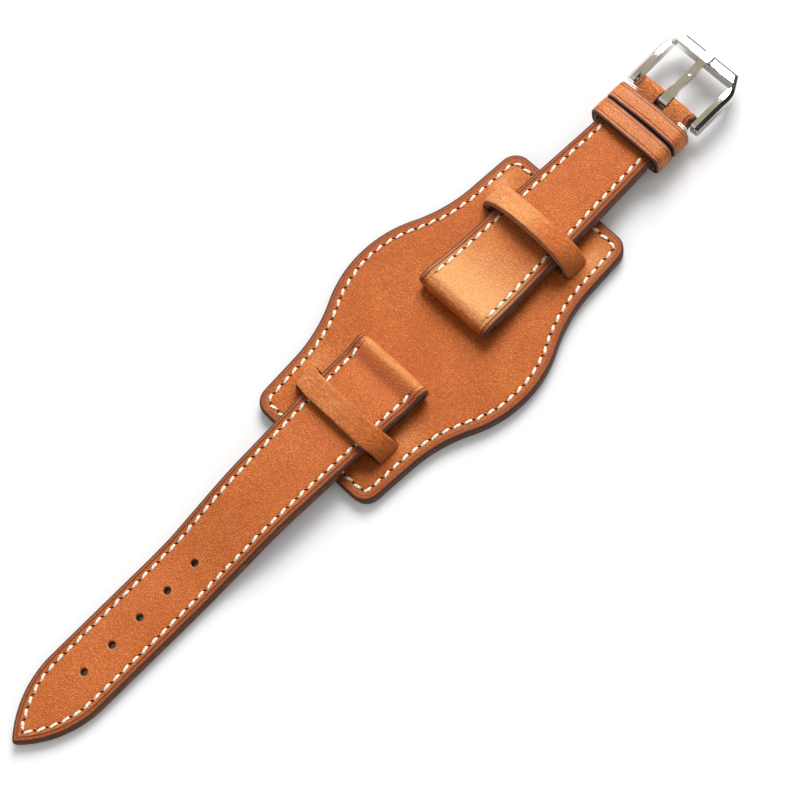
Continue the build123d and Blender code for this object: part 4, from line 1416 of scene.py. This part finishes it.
    def line(self, finishes: Finishes, outline: Outline, seam: Seam) -> None:
        """Builds the wrist side's lining, with a shallow channel under the stitches."""
        def channel(x: Array, y: Array) -> Array:
            """Height of the wrist side over its plane."""
            return -self.wrist_border.fall(outline.edge_distance(x, y))

        inset = outline.inset(self.edge_round)
        x = np.linspace(inset.line[0, 0], inset.line[-1, 0], 170)
        y = dense_sides(inset.half_width(x), 0.35, 4.2, 36)
        skin = Skin()
        Sheet(x, y, channel, level(-self.layer), face_down, outline, (0.45, 0.04), (seam,)).build(skin)
        skin.make("pad_wrist_lining", [finishes.lining, finishes.edge, finishes.raw], "pad", "pad_lining",
                  "pad_lining")


@dataclass
class StrapHalf:
    """Sizes and reliefs that both strap halves share.

    Attributes:
        body: the body that the half rides on.
        lug_half, end_half: half the widths at the lugs and at the narrow end.
        edge_slack: how much narrower the rolled leather is on each side.
        outer, core, lining: thicknesses of the three layers, the filler's at the lugs.
        base: height of the wrist side over the table.
        eye_height, eye_bore: height of the lug bore's axis, and its radius.
        flap: how far the leather runs back under the half from the bore.
        edge_round: radius of the edge at the grain side.
        first_stitch: distance of the first stitch from the fold.
        crown: how far the middle stands over the sides.
        border, wrist_border: how the two faces fall off at the edge and at the seam.
    """

    body: str = ""
    lug_half: float = 10.0
    end_half: float = 8.0
    edge_slack: float = 0.12
    outer: float = 1.1
    core: float = 1.2
    lining: float = 1.1
    base: float = 3.3
    eye_height: float = 5.1
    eye_bore: float = 0.9
    flap: float = 9.0
    edge_round: float = 0.45
    first_stitch: float = 4.7
    crown: float = 0.14
    border: Border = Border(2.1, 0.12, 0.5, 0.30)
    wrist_border: Border = Border(2.1, 0.14)

    @property
    def eye(self) -> float:
        """Outer radius of a lug roll."""
        return self.eye_bore + self.outer

    @property
    def thick(self) -> float:
        """Thickness of the half at the lugs."""
        return self.outer + self.core + self.lining

    @staticmethod
    def roll(x: float, z: float, radius: float, start: float, end: float) -> Array:
        """Arc of the leather round a bar at (x, z), from a start angle to an end angle."""
        a = np.linspace(start, end, 60)
        return np.stack([x + radius * np.cos(a), z + radius * np.sin(a)], axis=1)

    def relief(self, outline: Outline, wide: Callable[[Array], Array]) -> Lift:
        """Height over the bending line: a slight crown and the border.

        Args:
            outline: the flat outline.
            wide: half-width at a length.
        Returns:
            A function of flat places.
        """
        def height(s: Array, c: Array) -> Array:
            """Sum of the reliefs."""
            crown = self.crown * (1 - (c / np.maximum(wide(s), 1.0)) ** 2)
            return crown - self.border.fall(outline.edge_distance(s, c))
        return height

    def wrist_relief(self, outline: Outline) -> Lift:
        """Height of a wrist side: a furrow that the thread sits in."""
        return lambda s, c: -self.wrist_border.fall(outline.edge_distance(s, c))

    def add_outer(self, finishes: Finishes, name: str, node: str, sheet: Sheet) -> None:
        """Builds the grained outer leather under a name, in place of a node."""
        skin = Skin()
        sheet.build(skin)
        leathers = [finishes.strap, finishes.strap_edge, finishes.raw]
        skin.make(name, leathers, self.body, node, "strap_leather")

    def add_layer(self, finishes: Finishes, names: tuple[str, str, str], sheet: Sheet, lined: bool) -> None:
        """Builds a filler or a lining.

        Args:
            finishes: the materials.
            names: the piece, the node that it stands for and the record's slot.
            sheet: the leather.
            lined: whether it is a lining, or else a filler, which shows its cut on every side.
        """
        skin = Skin()
        sheet.build(skin, (0, 1, 2) if lined else (1, 1, 1))
        name, node, slot = names
        skin.make(name, [finishes.lining, finishes.strap_edge, finishes.raw], self.body, node, slot)


@dataclass
class TailHalf(StrapHalf):
    """The long half: outer leather rolled at the lugs, filler, lining, holes and stitches.

    Attributes:
        fold, tip: places of the fold at the lugs and of the tip.
        tip_length: length of the pointed end.
        parallel: where the taper from the lugs ends.
        drop: where the half leaves the pad's level, and where it reaches the table.
        tip_core: the filler's thickness at the tip.
        hole_first, hole_pitch, hole_count, hole_radius: the punched holes.
    """

    body: str = "tail_half"
    fold: float = -13.1
    tip: float = -126.0
    tip_length: float = 18.3
    parallel: float = -73.3
    drop: tuple[float, float] = (-55.6, -75.3)
    tip_core: float = 0.2
    hole_first: float = -105.4
    hole_pitch: float = 8.0
    hole_count: int = 5
    hole_radius: float = 0.86

    def thickness(self, x: Array) -> Array:
        """Thickness at a place: an even taper from the lugs to the tip."""
        eye = self.fold - self.eye
        return self.thick + (self.tip_core - self.core) * (x - eye) / (self.tip - eye)

    def skin_line(self) -> Array:
        """Side view of the grain side from the tip, over the roll at the lugs and back under as a flap."""
        eye = self.fold - self.eye
        high = self.base + self.thick
        corners = [(self.tip, self.thickness(self.tip)), (self.drop[1], self.thickness(self.drop[1])),
                   (self.drop[0], self.base + self.thickness(self.drop[0])), (eye - 8.5, high + 0.06),
                   (eye - 3.5, high - 0.50), (eye - 1.0, high + 0.16),
                   (eye - 0.1, self.eye_height + self.eye + 0.04)]
        top = arc_corners(corners, [70.0, 70.0, 12.0, 4.0, 2.0], step=0.3)
        flap = np.array([[eye - 3.0, self.base + 0.02], [eye - self.flap, self.base]])
        roll = self.roll(eye, self.eye_height, self.eye, np.pi / 2 + 0.05, -np.pi / 2)
        return soften(even_line(np.concatenate([top, roll, flap]), 0.12), 6)

    def flat_half(self, x: Array) -> Array:
        """Half-width at a place: parallel, then a straight taper to the lugs, and arcs at the tip."""
        radius = (self.tip_length**2 + self.end_half**2) / (2 * self.end_half)
        start = self.tip + self.tip_length
        straight = np.interp(x, [self.parallel, self.fold], [self.end_half, self.lug_half])
        arc = self.end_half - radius + np.sqrt(radius**2 - np.clip(start - x, 0, self.tip_length) ** 2)
        return np.where(x < start, arc, straight)

    def holes(self, bend: Bend, part: slice = slice(None)) -> tuple[tuple[float, float, float], ...]:
        """Length, side place and radius of each punched hole on a bending line."""
        places = (self.hole_first + k * self.hole_pitch for k in range(self.hole_count))
        return tuple((bend.length_at(x, part), 0.0, self.hole_radius) for x in places)

    def build(self, finishes: Finishes) -> None:
        """Builds the four pieces of the tail half."""
        bend = Bend(self.skin_line())
        fold = float(bend.run[int(np.argmax(bend.points[:, 0]))])
        s = np.concatenate([np.linspace(0, fold, 400), np.linspace(fold, bend.length, 40)[1:]])
        near = s > fold - 2.5
        half = self.flat_half(bend.flat_x(s))
        half[near] = self.lug_half - self.edge_slack * smooth(s[near], fold - 2.5, fold)
        outline = Outline(np.concatenate([np.stack([s, half], axis=1), [[s[-1], 0]]]))
        relief = self.relief(outline, lambda at: np.interp(at, s, half))

        row = Outline(np.stack([s[s < fold], half[s < fold]], axis=1)).inset(self.border.inset).line
        row = row[row[:, 0] < fold - self.first_stitch]
        seam = Seam(even_line(np.concatenate([row[::-1], [[row[0, 0] - 0.1, 0]], row * [1, -1]]), 0.15))
        inset = outline.inset(self.edge_round)
        tip = inset.line[inset.line[:, 1] > 0.12][0, 0]
        cols = np.concatenate([tip + 6 * np.linspace(0, 1, 26)[:-1] ** 1.6,
                               np.linspace(tip + 6, fold - 3, 190)[:-1],
                               np.linspace(fold - 3, inset.line[-1, 0], 46)])

        def creased(at: Array, cc: Array) -> Array:
            """Fine wrinkles where the leather turns over the lug bar."""
            return 0.5 * smooth(at, fold - 5.5, fold - 1.5)

        def pulled(at: Array, cc: Array) -> Array:
            """Painted highlight over the roll, painted shade in the hollow behind it."""
            return 0.55 * bell(at - fold + 2.2, 1.5) - 0.75 * bell(at - fold + 5.6, 1.7)

        sheet = Sheet(cols, dense_sides(inset.half_width(cols), 0.22, 2.9, 20), relief, level(-self.outer),
                      bend.place, outline, (self.edge_round, 0.05), (seam,), creased, pulled,
                      holes=self.holes(bend, slice(None, len(bend.run) // 2)))
        self.add_outer(finishes, "tail_grain", "tail_outer", sheet)
        threads = Skin()
        Thread().sew(threads, seam, bend.place, relief, 21)
        self.under(finishes, bend, threads)
        threads.make("tail_thread", [finishes.thread], self.body, "tail_stitching", "thread")

    def under(self, finishes: Finishes, outer: Bend, threads: Skin) -> None:
        """Builds the filler and the lining below the outer leather, and the stitches of the wrist side."""
        eye = self.fold - self.eye
        upper = outer.points[: nearest(outer.points[: len(outer.run) // 2 + 200, 0], eye - self.eye + 0.15)]
        bottom = np.maximum(upper[:, 1] - self.thickness(upper[:, 0]), 0.0)
        core = Bend(upper - self.outer * np.array([0, 1]))
        wrist = Bend(np.stack([upper[:, 0], bottom], axis=1)[::-1])

        def core_depth(at: Array, c: Array) -> Array:
            """Depth of the filler, less towards the tip."""
            return -np.interp(core.flat_x(at), [self.tip, eye], [self.tip_core, self.core])

        for names, bend, low, start, lined in (
            (("tail_filler", "tail_core", "strap_filler"), core, core_depth, 0.0, False),
            (("tail_wrist_lining", "tail_lining", "strap_lining"), wrist, level(-self.lining),
             wrist.length_at(eye - self.flap), True),
        ):
            s = np.linspace(start, bend.length, 500)
            edge = np.stack([s, self.flat_half(bend.flat_x(s))], axis=1)
            outline = Outline(np.concatenate([[[s[0], 0]], edge] if lined else [edge, [[s[-1], 0]]]))
            rounding = 0.4 if lined else 0.02
            inset = outline.inset(rounding)
            lo, hi = inset.line[inset.line[:, 1] > 0.12][[0, -1], 0]
            share = np.linspace(0, 1, 26)
            cols = np.concatenate([lo + 6 * share[:-1] ** 1.6, np.linspace(lo + 6, hi, 200)])
            relief, seams = level(0.0), ()
            if lined:
                cols = np.concatenate([np.linspace(lo, hi - 6, 200)[:-1], hi - 6 + 6 * share**0.7])
                row = Outline(edge).inset(self.border.inset).line
                line = np.concatenate([row, [[row[-1, 0] + 0.1, 0]], row[::-1] * [1, -1]])
                relief, seams = self.wrist_relief(outline), (Seam(even_line(line, 0.2)),)
            sheet = Sheet(cols, dense_sides(inset.half_width(cols), 0.4, 2.8, 16), relief, low, bend.place,
                          outline, (rounding, 0.02), seams, holes=self.holes(bend))
            self.add_layer(finishes, names, sheet, lined)
            for seam in seams:
                Thread(rise=0.14, slant=0.2).sew(threads, seam, bend.place, relief, 31)


@dataclass
class BuckleHalf(StrapHalf):
    """The short half: outer leather rolled at the lugs and round the buckle's bar, filler, lining, stitches.

    Attributes:
        fold, bar: places of the fold at the lugs and of the buckle's bar.
        bar_height, bar_eye: height of the bar's axis, and outer radius of the roll round it.
        end_core: the filler's thickness at the bar.
        parallel: where the taper from the lugs ends.
        bar_flap: how far the leather runs back under the half from the bar.
        notch_half, notch_root: half the width of the tongue's notch, and where it starts.
        last_stitch: place of the last stitch.
        pinch: how far the sides draw in before and behind the bar roll.
    """

    body: str = "buckle_half"
    fold: float = 3.2
    bar: float = 69.6
    bar_height: float = 4.65
    bar_eye: float = 1.9
    end_core: float = 0.5
    parallel: float = 53.8
    bar_flap: float = 14.0
    notch_half: float = 1.5
    notch_root: float = 65.4
    last_stitch: float = 56.4
    pinch: float = 0.34
    wrist_border: Border = Border(2.1, 0.12)

    def skin_line(self) -> Array:
        """Side view of the grain side: lug flap, lug roll, top, bar roll and bar flap."""
        eye, bar = self.fold + self.eye, self.bar
        high, low = self.base + self.thick, self.base + self.outer + self.end_core + self.lining
        slope = (low - high) / (bar - eye)
        corners = [(eye + 0.6, self.eye_height + self.eye + 0.30), (eye + 9.5, high - 0.32),
                   (eye + 20.0, high + 20.0 * slope), (bar - 5.5, low - 5.5 * slope), (bar - 2.8, low - 0.12),
                   (bar - 0.5, self.bar_height + self.bar_eye)]
        top = arc_corners(corners, [45.0, 60.0, 6.0, 3.0], step=0.3)
        flap = np.array([[eye + self.flap, self.base], [eye + 3.0, self.base + 0.02]])
        lug_roll = self.roll(eye, self.eye_height, self.eye, 3 * np.pi / 2, np.pi / 2 - 0.05)
        bar_roll = self.roll(bar, self.bar_height, self.bar_eye, np.pi / 2 - 0.1, -np.pi / 2)
        back = np.array([[bar - 3.0, self.base], [bar - self.bar_flap, self.base]])
        return soften(even_line(np.concatenate([flap, lug_roll, top, bar_roll, back]), 0.1), 6)

    def flat_half(self, x: Array) -> Array:
        """Half-width at a place: a straight taper, then parallel."""
        return np.interp(x, [self.fold, self.parallel], [self.lug_half, self.end_half])

    def build(self, finishes: Finishes) -> None:
        """Builds the four pieces of the buckle half."""
        bend = Bend(self.skin_line())
        turn, nose = bend.run[np.argmin(bend.points[:, 0])], bend.run[np.argmax(bend.points[:, 0])]
        upper = (bend.run > turn) & (bend.run < nose)
        s = np.linspace(0, bend.length, 700)
        rolled = np.where(s <= turn, self.lug_half - self.edge_slack, self.end_half - 0.1)
        half = np.where((s > turn) & (s < nose), self.flat_half(bend.flat_x(s)), rolled)
        for side in (-1, 1):
            half = half - self.pinch * bell(s - (nose + side * 3.6), 0.8)
        outline = Outline(np.concatenate([[[0.0, 0.0]], np.stack([s, half], axis=1), [[s[-1], 0.0]]]))

        def wide(at: Array) -> Array:
            """Half-width at a length along the sheet."""
            return np.interp(at, s, half)

        at = np.linspace(turn + self.first_stitch, bend.length_at(self.last_stitch, upper), 300)
        row = np.stack([at, wide(at) - self.border.inset], axis=1)
        seams = (Seam(row[::-1]), Seam(row * [1, -1]))
        inset = outline.inset(self.edge_round)
        root = bend.length_at(self.notch_root, upper)
        stops = (inset.line[0, 0], turn + 4, root, 2 * nose - root, inset.line[-1, 0])
        cols = np.concatenate([np.linspace(a, b, count)[:-1] for a, b, count in
                               zip(stops[:-1], stops[1:], (56, 105, 44, 22))] + [[stops[-1]]])
        c = dense_sides(inset.half_width(cols), 0.22, 2.9, 24)
        notch = [nearest(cols, stop) for stop in stops[2:4]]
        for edge in (-self.notch_half, self.notch_half):
            notch.append(nearest(c[len(c) // 2], edge))
            c[:, notch[-1]] = edge
        relief = self.relief(outline, wide)

        def creased(at: Array, cc: Array) -> Array:
            """Fine wrinkles at the lug roll, heavy ones behind the bar roll."""
            return 0.5 * smooth(-at, -turn - 5.5, -turn - 1.5) + 1.0 * smooth(at, nose - 8.0, nose - 4.0)

        def pulled(at: Array, cc: Array) -> Array:
            """Painted highlight on the slope behind the lug roll, fading towards the buckle, and a weaker one
            from just before the bar roll.
            """
            slope = smooth(at, turn + 1.6, turn + 4.0) * (1 - smooth(at, turn + 6.0, turn + 24.0))
            return 0.88 * slope + 0.22 * smooth(at, nose - 6.0, nose - 3.0)

        sheet = Sheet(cols, c, relief, level(-self.outer), bend.place, outline, (self.edge_round, 0.05),
                      seams, creased, pulled, (tuple(notch),))
        self.add_outer(finishes, "buckle_half_grain", "buckle_half_outer", sheet)
        threads = Skin()
        for seam, seed in zip(seams, (41, 42)):
            Thread().sew(threads, seam, bend.place, relief, seed)
        self.under(finishes, bend.points[upper])
        threads.make("buckle_half_thread", [finishes.thread], self.body, "buckle_half_stitching", "thread")

    def under(self, finishes: Finishes, top: Array) -> None:
        """Builds the filler between the rolls, below the top's line, and the lining between the flaps."""
        eye = self.fold + self.eye
        within = (top[:, 0] > eye + self.eye - 0.15) & (top[:, 0] < self.bar - self.bar_eye + 0.1)
        core = Bend(top[within] - [0, self.outer])
        wrist = Bend(np.array([[self.bar - self.bar_flap, self.base], [eye + self.flap, self.base]]))

        def depth(at: Array, c: Array) -> Array:
            """Down to just above the lining."""
            return -(np.interp(at, core.run, core.points[:, 1]) - self.base - self.lining - 0.01)

        for names, bend, low, lined in (
            (("buckle_half_filler", "buckle_half_core", "strap_filler"), core, depth, False),
            (("buckle_half_wrist_lining", "buckle_half_lining", "strap_lining"), wrist,
             level(-self.lining), True),
        ):
            s = np.linspace(0, bend.length, 300)
            half = self.flat_half(bend.flat_x(s))
            outline = Outline(np.concatenate([[[0.0, 0.0]], np.stack([s, half], axis=1), [[s[-1], 0.0]]]))
            rounding = 0.4 if lined else 0.02
            inset = outline.inset(rounding)
            cols = np.linspace(inset.line[0, 0], inset.line[-1, 0], 120)
            relief, seams = level(0.0), ()
            if lined:
                row = np.stack([s[10:-10], half[10:-10] - self.border.inset], axis=1)
                relief, seams = self.wrist_relief(outline), (Seam(row),)
            sheet = Sheet(cols, dense_sides(inset.half_width(cols), 0.4, 2.8, 16), relief, low, bend.place,
                          outline, (rounding, 0.02), seams)
            self.add_layer(finishes, names, sheet, lined)


@dataclass
class Keepers:
    """The two leather loops and the threads that wrap the strap beside the bar.

    Attributes:
        width, thickness: sizes of a loop's band.
        inner_half, inner_top: half the width, and the height, of the room inside a loop.
        floating, fixed: lower x of the two loops.
        floating_loop, fixed_loop: height of the lower inner face, rise of the arch and its lean.
        corner, crown: radius of the band's grain edges, and rise of its grain face.
        flesh_inset: distance of the flesh face's edges from the band's sides.
        wrap_middle, wrap_radius: place of the wrapping threads along the strap, and a strand's radius.
    """

    width: float = 4.65
    thickness: float = 1.35
    inner_half: float = 8.6
    inner_top: float = 6.7
    floating: float = 56.55
    fixed: float = 61.65
    floating_loop: tuple[float, float, float] = (3.05, 0.42, 1.2)
    fixed_loop: tuple[float, float, float] = (3.3, 0.38, 0.6)
    corner: float = 0.32
    crown: float = 0.12
    flesh_inset: float = 0.15
    wrap_middle: float = 67.0
    wrap_radius: float = 0.27

    def loop_line(self, bottom: float, crown: float, lean: float) -> Array:
        """Outer side view of a loop: a rounded box whose top is gently arched.

        Args:
            bottom: height of the inner face below the strap.
            crown: rise of the arch.
            lean: sideways lean of the arch's top.
        Returns:
            Points of the closed line, as (y, z), that run along the top towards -y.
        """
        out, high = self.inner_half + self.thickness, self.inner_top + self.thickness
        low = bottom - self.thickness
        box = [(0.0, low), (out, low), (out, high - 0.25), (lean, high + crown), (-out, high - 0.25),
               (-out, low), (0.0, low)]
        line = arc_corners(box, [1.7, 2.0, 60.0, 2.0, 1.7], step=0.2)
        return soften(even_line(line[:-1], 0.2, closed=True), 5, closed=True)

    def section(self) -> tuple[Array, Array, Array, Array]:
        """The band's section, once round from the grain side.

        It is a box of the band's width and thickness. Its grain face is crowned by the crown times 1 minus
        the square of the place across, and quarter circles round its grain edges.

        Returns:
            Side places, depths, distances from the edge, and kinds: 0 for grain, 1 for the cut, 2 for flesh.
        """
        w, t, r = self.width / 2, self.thickness, self.corner
        face = np.linspace(-w + r, w - r, 19)
        a = np.linspace(0, np.pi / 2, 6)[1:]
        wall = -r - (t - r - self.flesh_inset) * np.linspace(0.2, 0.8, 3)
        low = self.crown * (1 - ((w - r) / w) ** 2)
        rounded = np.stack([w - r + r * np.sin(a), low - r * (1 - np.cos(a)), r - r * np.sin(a), 0 * a])
        cut = np.stack([np.full(3, w), wall, np.zeros(3), np.ones(3)])
        back = np.linspace(w - self.flesh_inset, -w + self.flesh_inset, 6)
        mirror = np.array([[-1], [1], [1], [1]])
        return tuple(np.concatenate([
            np.stack([face, self.crown * (1 - (face / w) ** 2), w - np.abs(face), 0 * face]), rounded, cut,
            np.stack([back, np.full(6, -t), np.full(6, 0.5), np.full(6, 2.0)]),
            mirror * cut[:, ::-1], mirror * rounded[:, ::-1]], axis=1))

    def band(self, skin: Skin, start: float, line: Array, seed: int) -> None:
        """Adds a loop: the band's section carried round a line, swaying and swelling a little on its way.

        Args:
            skin: where the vertices and faces go.
            start: its lower x.
            line: the outer line.
            seed: seed of its small irregularities.
        """
        bend = Bend(line, Plane.ACROSS, closed=True)
        side, deep, edge, kind = self.section()
        s = np.linspace(0, bend.length, 260, endpoint=False)
        phase = np.random.default_rng(seed).uniform(0, 6.28, 3)
        turn = FULL_TURN * s / bend.length
        sway = 0.06 * np.sin(turn + phase[0]) + 0.04 * np.sin(3 * turn + phase[1])
        swell = 1 + 0.012 * np.sin(2 * turn + phase[2])
        c = start + self.width / 2 + sway[:, None] + side * swell[:, None]
        around = np.broadcast_to(s[:, None], c.shape)
        way = np.gradient(bend.place(s, 0 * s, 0 * s)[:, 1:], axis=0)
        bends = np.abs(np.gradient(np.unwrap(np.arctan2(*way.T))))
        creased = np.clip(soften(bends[:, None], 4, closed=True) * 5, 0, 0.6)
        points = bend.place(around, c, np.broadcast_to(deep, c.shape))
        ids = skin.add(points, {"edge": edge, "creased": creased}, np.stack([around, c], axis=-1))
        cell = np.maximum(kind, np.roll(kind, -1))
        for slot in (0, 1, 2):
            skin.grid(ids, slot, keep=np.broadcast_to(cell == slot, ids.shape), wrap=(True, True))

    def build(self, finishes: Finishes) -> None:
        """Builds both keepers and the wrapping threads."""
        leathers = [finishes.keeper, finishes.dark_edge, finishes.raw]
        for name, node, body, start, loop, seed in (
            ("keeper_loose", "floating_keeper", "floating_keeper", self.floating, self.floating_loop, 51),
            ("keeper_sewn", "fixed_keeper", "buckle_half", self.fixed, self.fixed_loop, 52),
        ):
            skin = Skin()
            self.band(skin, start, self.loop_line(*loop), seed)
            skin.make(name, leathers, body, node, "keeper_leather")
        self.wraps(finishes)

    def wraps(self, finishes: Finishes) -> None:
        """Builds the two thick threads that go over the strap's edges, two strands side by side each.

        Each strand is a tube carried along a line that starts in the leather's top, goes over the edge and
        down its wall, and comes back into the underside.

        Args:
            finishes: the materials.
        """
        skin = Skin()
        angle = np.linspace(0, FULL_TURN, 10, endpoint=False)
        out = self.wrap_radius * np.cos(angle)
        for side in (-1, 1):
            for shift, lean in ((-self.wrap_radius, -0.08 * side), (self.wrap_radius, 0.08 * side)):
                corners = [(6.05 + lean, 5.2), (6.25 + lean, 6.42), (8.22, 6.30), (8.24, 3.05), (6.6, 3.02),
                           (6.5, 3.8)]
                line = soften(even_line(arc_corners(corners, [0.35, 0.7, 0.5, 0.3]), 0.12), 3)
                way = ways(line)
                x = self.wrap_middle + shift + self.wrap_radius * 1.05 * np.sin(angle)
                y = line[:, None, 0] + way[:, None, 1] * out
                z = line[:, None, 1] - way[:, None, 0] * out
                wrap = np.stack(np.broadcast_arrays(run_of(line)[:, None] * 0.8, angle / FULL_TURN), axis=-1)
                ids = skin.add(face_up(x, side * y, z), None, wrap)
                skin.grid(ids, flip=side < 0, wrap=(False, True))
                for a, flip in ((ids[0], side > 0), (ids[-1], side < 0)):
                    caps = [a[[0, 1, 2, 3]], a[[0, 3, 4, 9]], a[[4, 5, 8, 9]], a[[5, 6, 7, 8]]]
                    skin.face(np.stack(caps), flip=flip)
        skin.make("bar_wrap_thread", [finishes.thread], "buckle_half", "bar_wraps", "thread")


@dataclass
class Buckle:
    """The metal pieces, which keep the frame's own shapes."""

    polished: tuple[str, ...] = ("buckle_frame",)
    marked: tuple[str, ...] = ("tongue",)
    brushed: tuple[str, ...] = ("bar_tube", "bar_pin_left", "bar_pin_right", "bar_spring")

    def dress(self, nodes: dict[str, bpy.types.Object], finishes: Finishes) -> None:
        """Gives every metal node its finish."""
        for names, material in ((self.polished, finishes.polished), (self.marked, finishes.marked),
                                (self.brushed, finishes.brushed)):
            for name in names:
                for slot in nodes[name].material_slots:
                    slot.material = material
                log.info("%s: dressed as %s", name, material.name)


@dataclass
class Studio:
    """Floor, lights, world and the photograph's camera.

    Attributes:
        eye: camera position in millimetres.
        ahead: the way that it looks.
        up: the image's upward direction.
        focal: focal length in pixels.
        frame_px, sensor_mm: width of the frame in pixels, and of the sensor.
        light_way: direction from the object to the main light.
        light_distance, light_size: the main light's distance and side length in metres.
        light_power: its power in watts.
    """

    eye: tuple[float, float, float] = (-97.84865, -170.74482, 478.30908)
    ahead: tuple[float, float, float] = (0.15614, 0.32375, -0.93317)
    up: tuple[float, float, float] = (0.68972, 0.64054, 0.33763)
    focal: float = 2400.14
    frame_px: float = 800.0
    sensor_mm: float = 36.0
    light_way: tuple[float, float, float] = (0.93, 0.60, 1.0)
    light_distance: float = 2.5
    light_size: float = 1.42
    light_power: float = 91.0

    def camera(self) -> None:
        """Sets the camera where the photograph was taken from."""
        data = bpy.data.cameras.new("photo_camera")
        data.sensor_width = self.sensor_mm
        data.sensor_fit = "HORIZONTAL"
        data.lens = self.sensor_mm * self.focal / self.frame_px
        data.clip_end = 50.0
        cam = bpy.data.objects.new("photo_camera", data)
        forward = Vector(self.ahead).normalized()
        right = forward.cross(Vector(self.up)).normalized()
        turn = Matrix((right, right.cross(forward), -forward)).transposed().to_4x4()
        cam.matrix_world = Matrix.Translation(Vector(self.eye) * MM) @ turn
        bpy.context.scene.collection.objects.link(cam)
        bpy.context.scene.camera = cam

    def lamp(self) -> None:
        """Hangs the main light, a square one that faces the object."""
        data = bpy.data.lights.new("key_softbox", "AREA")
        data.shape = "SQUARE"
        data.size = self.light_size
        data.energy = self.light_power
        lamp = bpy.data.objects.new("key_softbox", data)
        way = Vector(self.light_way).normalized()
        turn = way.to_track_quat("Z", "Y").to_matrix().to_4x4()
        lamp.matrix_world = Matrix.Translation(way * self.light_distance) @ turn
        bpy.context.scene.collection.objects.link(lamp)

    @staticmethod
    def world() -> None:
        """Even studio surround: soft for diffuse light, white behind the object, toned for reflections."""
        world = bpy.data.worlds.new("studio")
        bpy.context.scene.world = world
        world.use_nodes = True
        g = Graph(world.node_tree)
        plain = g.tree.nodes["Background"]
        g.feed(plain.inputs["Color"], (1.0, 0.985, 0.965))
        plain.inputs["Strength"].default_value = 0.30
        parts = g.call("SeparateXYZ", g.node("TexCoord").outputs["Generated"]).outputs
        height = parts[2]
        across, along = g.math("DIVIDE", parts[1], height), g.math("DIVIDE", parts[0], height)
        card = g.times(g.step(along, -0.17, -0.13), g.step(along, 0.530, 0.556, 1.0, 0.0))
        card = g.times(card, g.times(g.step(across, -0.02, 0.02), g.step(across, 0.78, 0.82, 1.0, 0.0)))
        colour = g.coats((0.035, 0.036, 0.038), (g.step(height, 0.30, 0.46), (0.62, 0.615, 0.61)),
                         (card, (0.50, 0.445, 0.335)))
        seen, white = g.call("Background", colour, 1.0), g.call("Background", (1, 1, 1))
        path = g.node("LightPath").outputs
        first = g.call("MixShader", path["Is Glossy Ray"], plain.outputs[0], seen.outputs[0])
        second = g.call("MixShader", path["Is Camera Ray"], first.outputs[0], white.outputs[0])
        g.feed(g.tree.nodes["World Output"].inputs["Surface"], second.outputs[0])

    @staticmethod
    def lay(name: str, low: tuple[float, float], high: tuple[float, float], height: float,
            material: bpy.types.Material) -> bpy.types.Object:
        """Lays a level rectangle that belongs to the studio.

        Args:
            name: its name.
            low: its least x and y in metres.
            high: its greatest x and y.
            height: its z in metres.
            material: its material.
        Returns:
            The new object.
        """
        mesh = bpy.data.meshes.new(name)
        corners = [(x, y, height) for x, y in (low, (high[0], low[1]), high, (low[0], high[1]))]
        mesh.from_pydata(corners, [], [(0, 1, 2, 3)])
        mesh.materials.append(material)
        sheet = bpy.data.objects.new(name, mesh)
        bpy.context.scene.collection.objects.link(sheet)
        return sheet

    def floor(self) -> None:
        """Pale floor, lifted to white by an emission that only camera rays see, dimmed by ambient occlusion
        beside the object as a painted contact shade.
        """
        material, g = new_material("floor paper")
        shader = g.tree.nodes["Principled BSDF"]
        camera = g.node("LightPath").outputs["Is Camera Ray"]
        g.feed(shader.inputs["Base Color"], g.coats((0.85, 0.845, 0.84), (camera, (0.60, 0.60, 0.60))))
        shader.inputs["Roughness"].default_value = 0.9
        shader.inputs["Specular IOR Level"].default_value = 0.1
        # Ambient occlusion dims the white emission next to the object: a painted contact shade.
        near = g.node("AmbientOcclusion", samples=12)
        near.inputs["Distance"].default_value = 12 * MM
        slope = g.call("VectorMath", g.node("TexCoord").outputs["Object"], (-0.39, -0.25, 0.0),
                       operation="DOT_PRODUCT")
        lift = g.math("ADD", slope.outputs["Value"], 0.34)
        emission_with_painted_shade = g.call("Emission", (1, 1, 1), g.times(camera, g.times(near.outputs["AO"], lift)))
        both = g.call("AddShader", shader.outputs[0], emission_with_painted_shade.outputs[0])
        g.feed(g.tree.nodes["Material Output"].inputs["Surface"], both.outputs[0])
        self.lay("floor", (-6.0, -6.0), (6.0, 6.0), -0.02 * MM, material)

    def dark_card(self) -> None:
        """Black card on the floor beyond the buckle, which only reflections see."""
        material, g = new_material("black card")
        g.feed(g.tree.nodes["Principled BSDF"].inputs["Base Color"], (0.02, 0.021, 0.023))
        card = self.lay("dark_card", (92 * MM, -4.0), (5.0, 60 * MM), 0.01 * MM, material)
        card.visible_camera = card.visible_diffuse = card.visible_shadow = card.visible_transmission = False

    def build(self) -> None:
        """Sets up the whole studio."""
        self.camera()
        self.floor()
        self.dark_card()
        self.world()
        self.lamp()
        bpy.context.scene.view_settings.view_transform = "Standard"


def main() -> None:
    """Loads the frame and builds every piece."""
    logging.basicConfig(level=logging.INFO, format="%(name)s: %(message)s")
    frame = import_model()
    finishes = Finishes()
    for part in (Pad(), TailHalf(), BuckleHalf(), Keepers()):
        part.build(finishes)
    Buckle().dress(frame["nodes"], finishes)
    Studio().build()


if __name__ == "__main__":
    main()
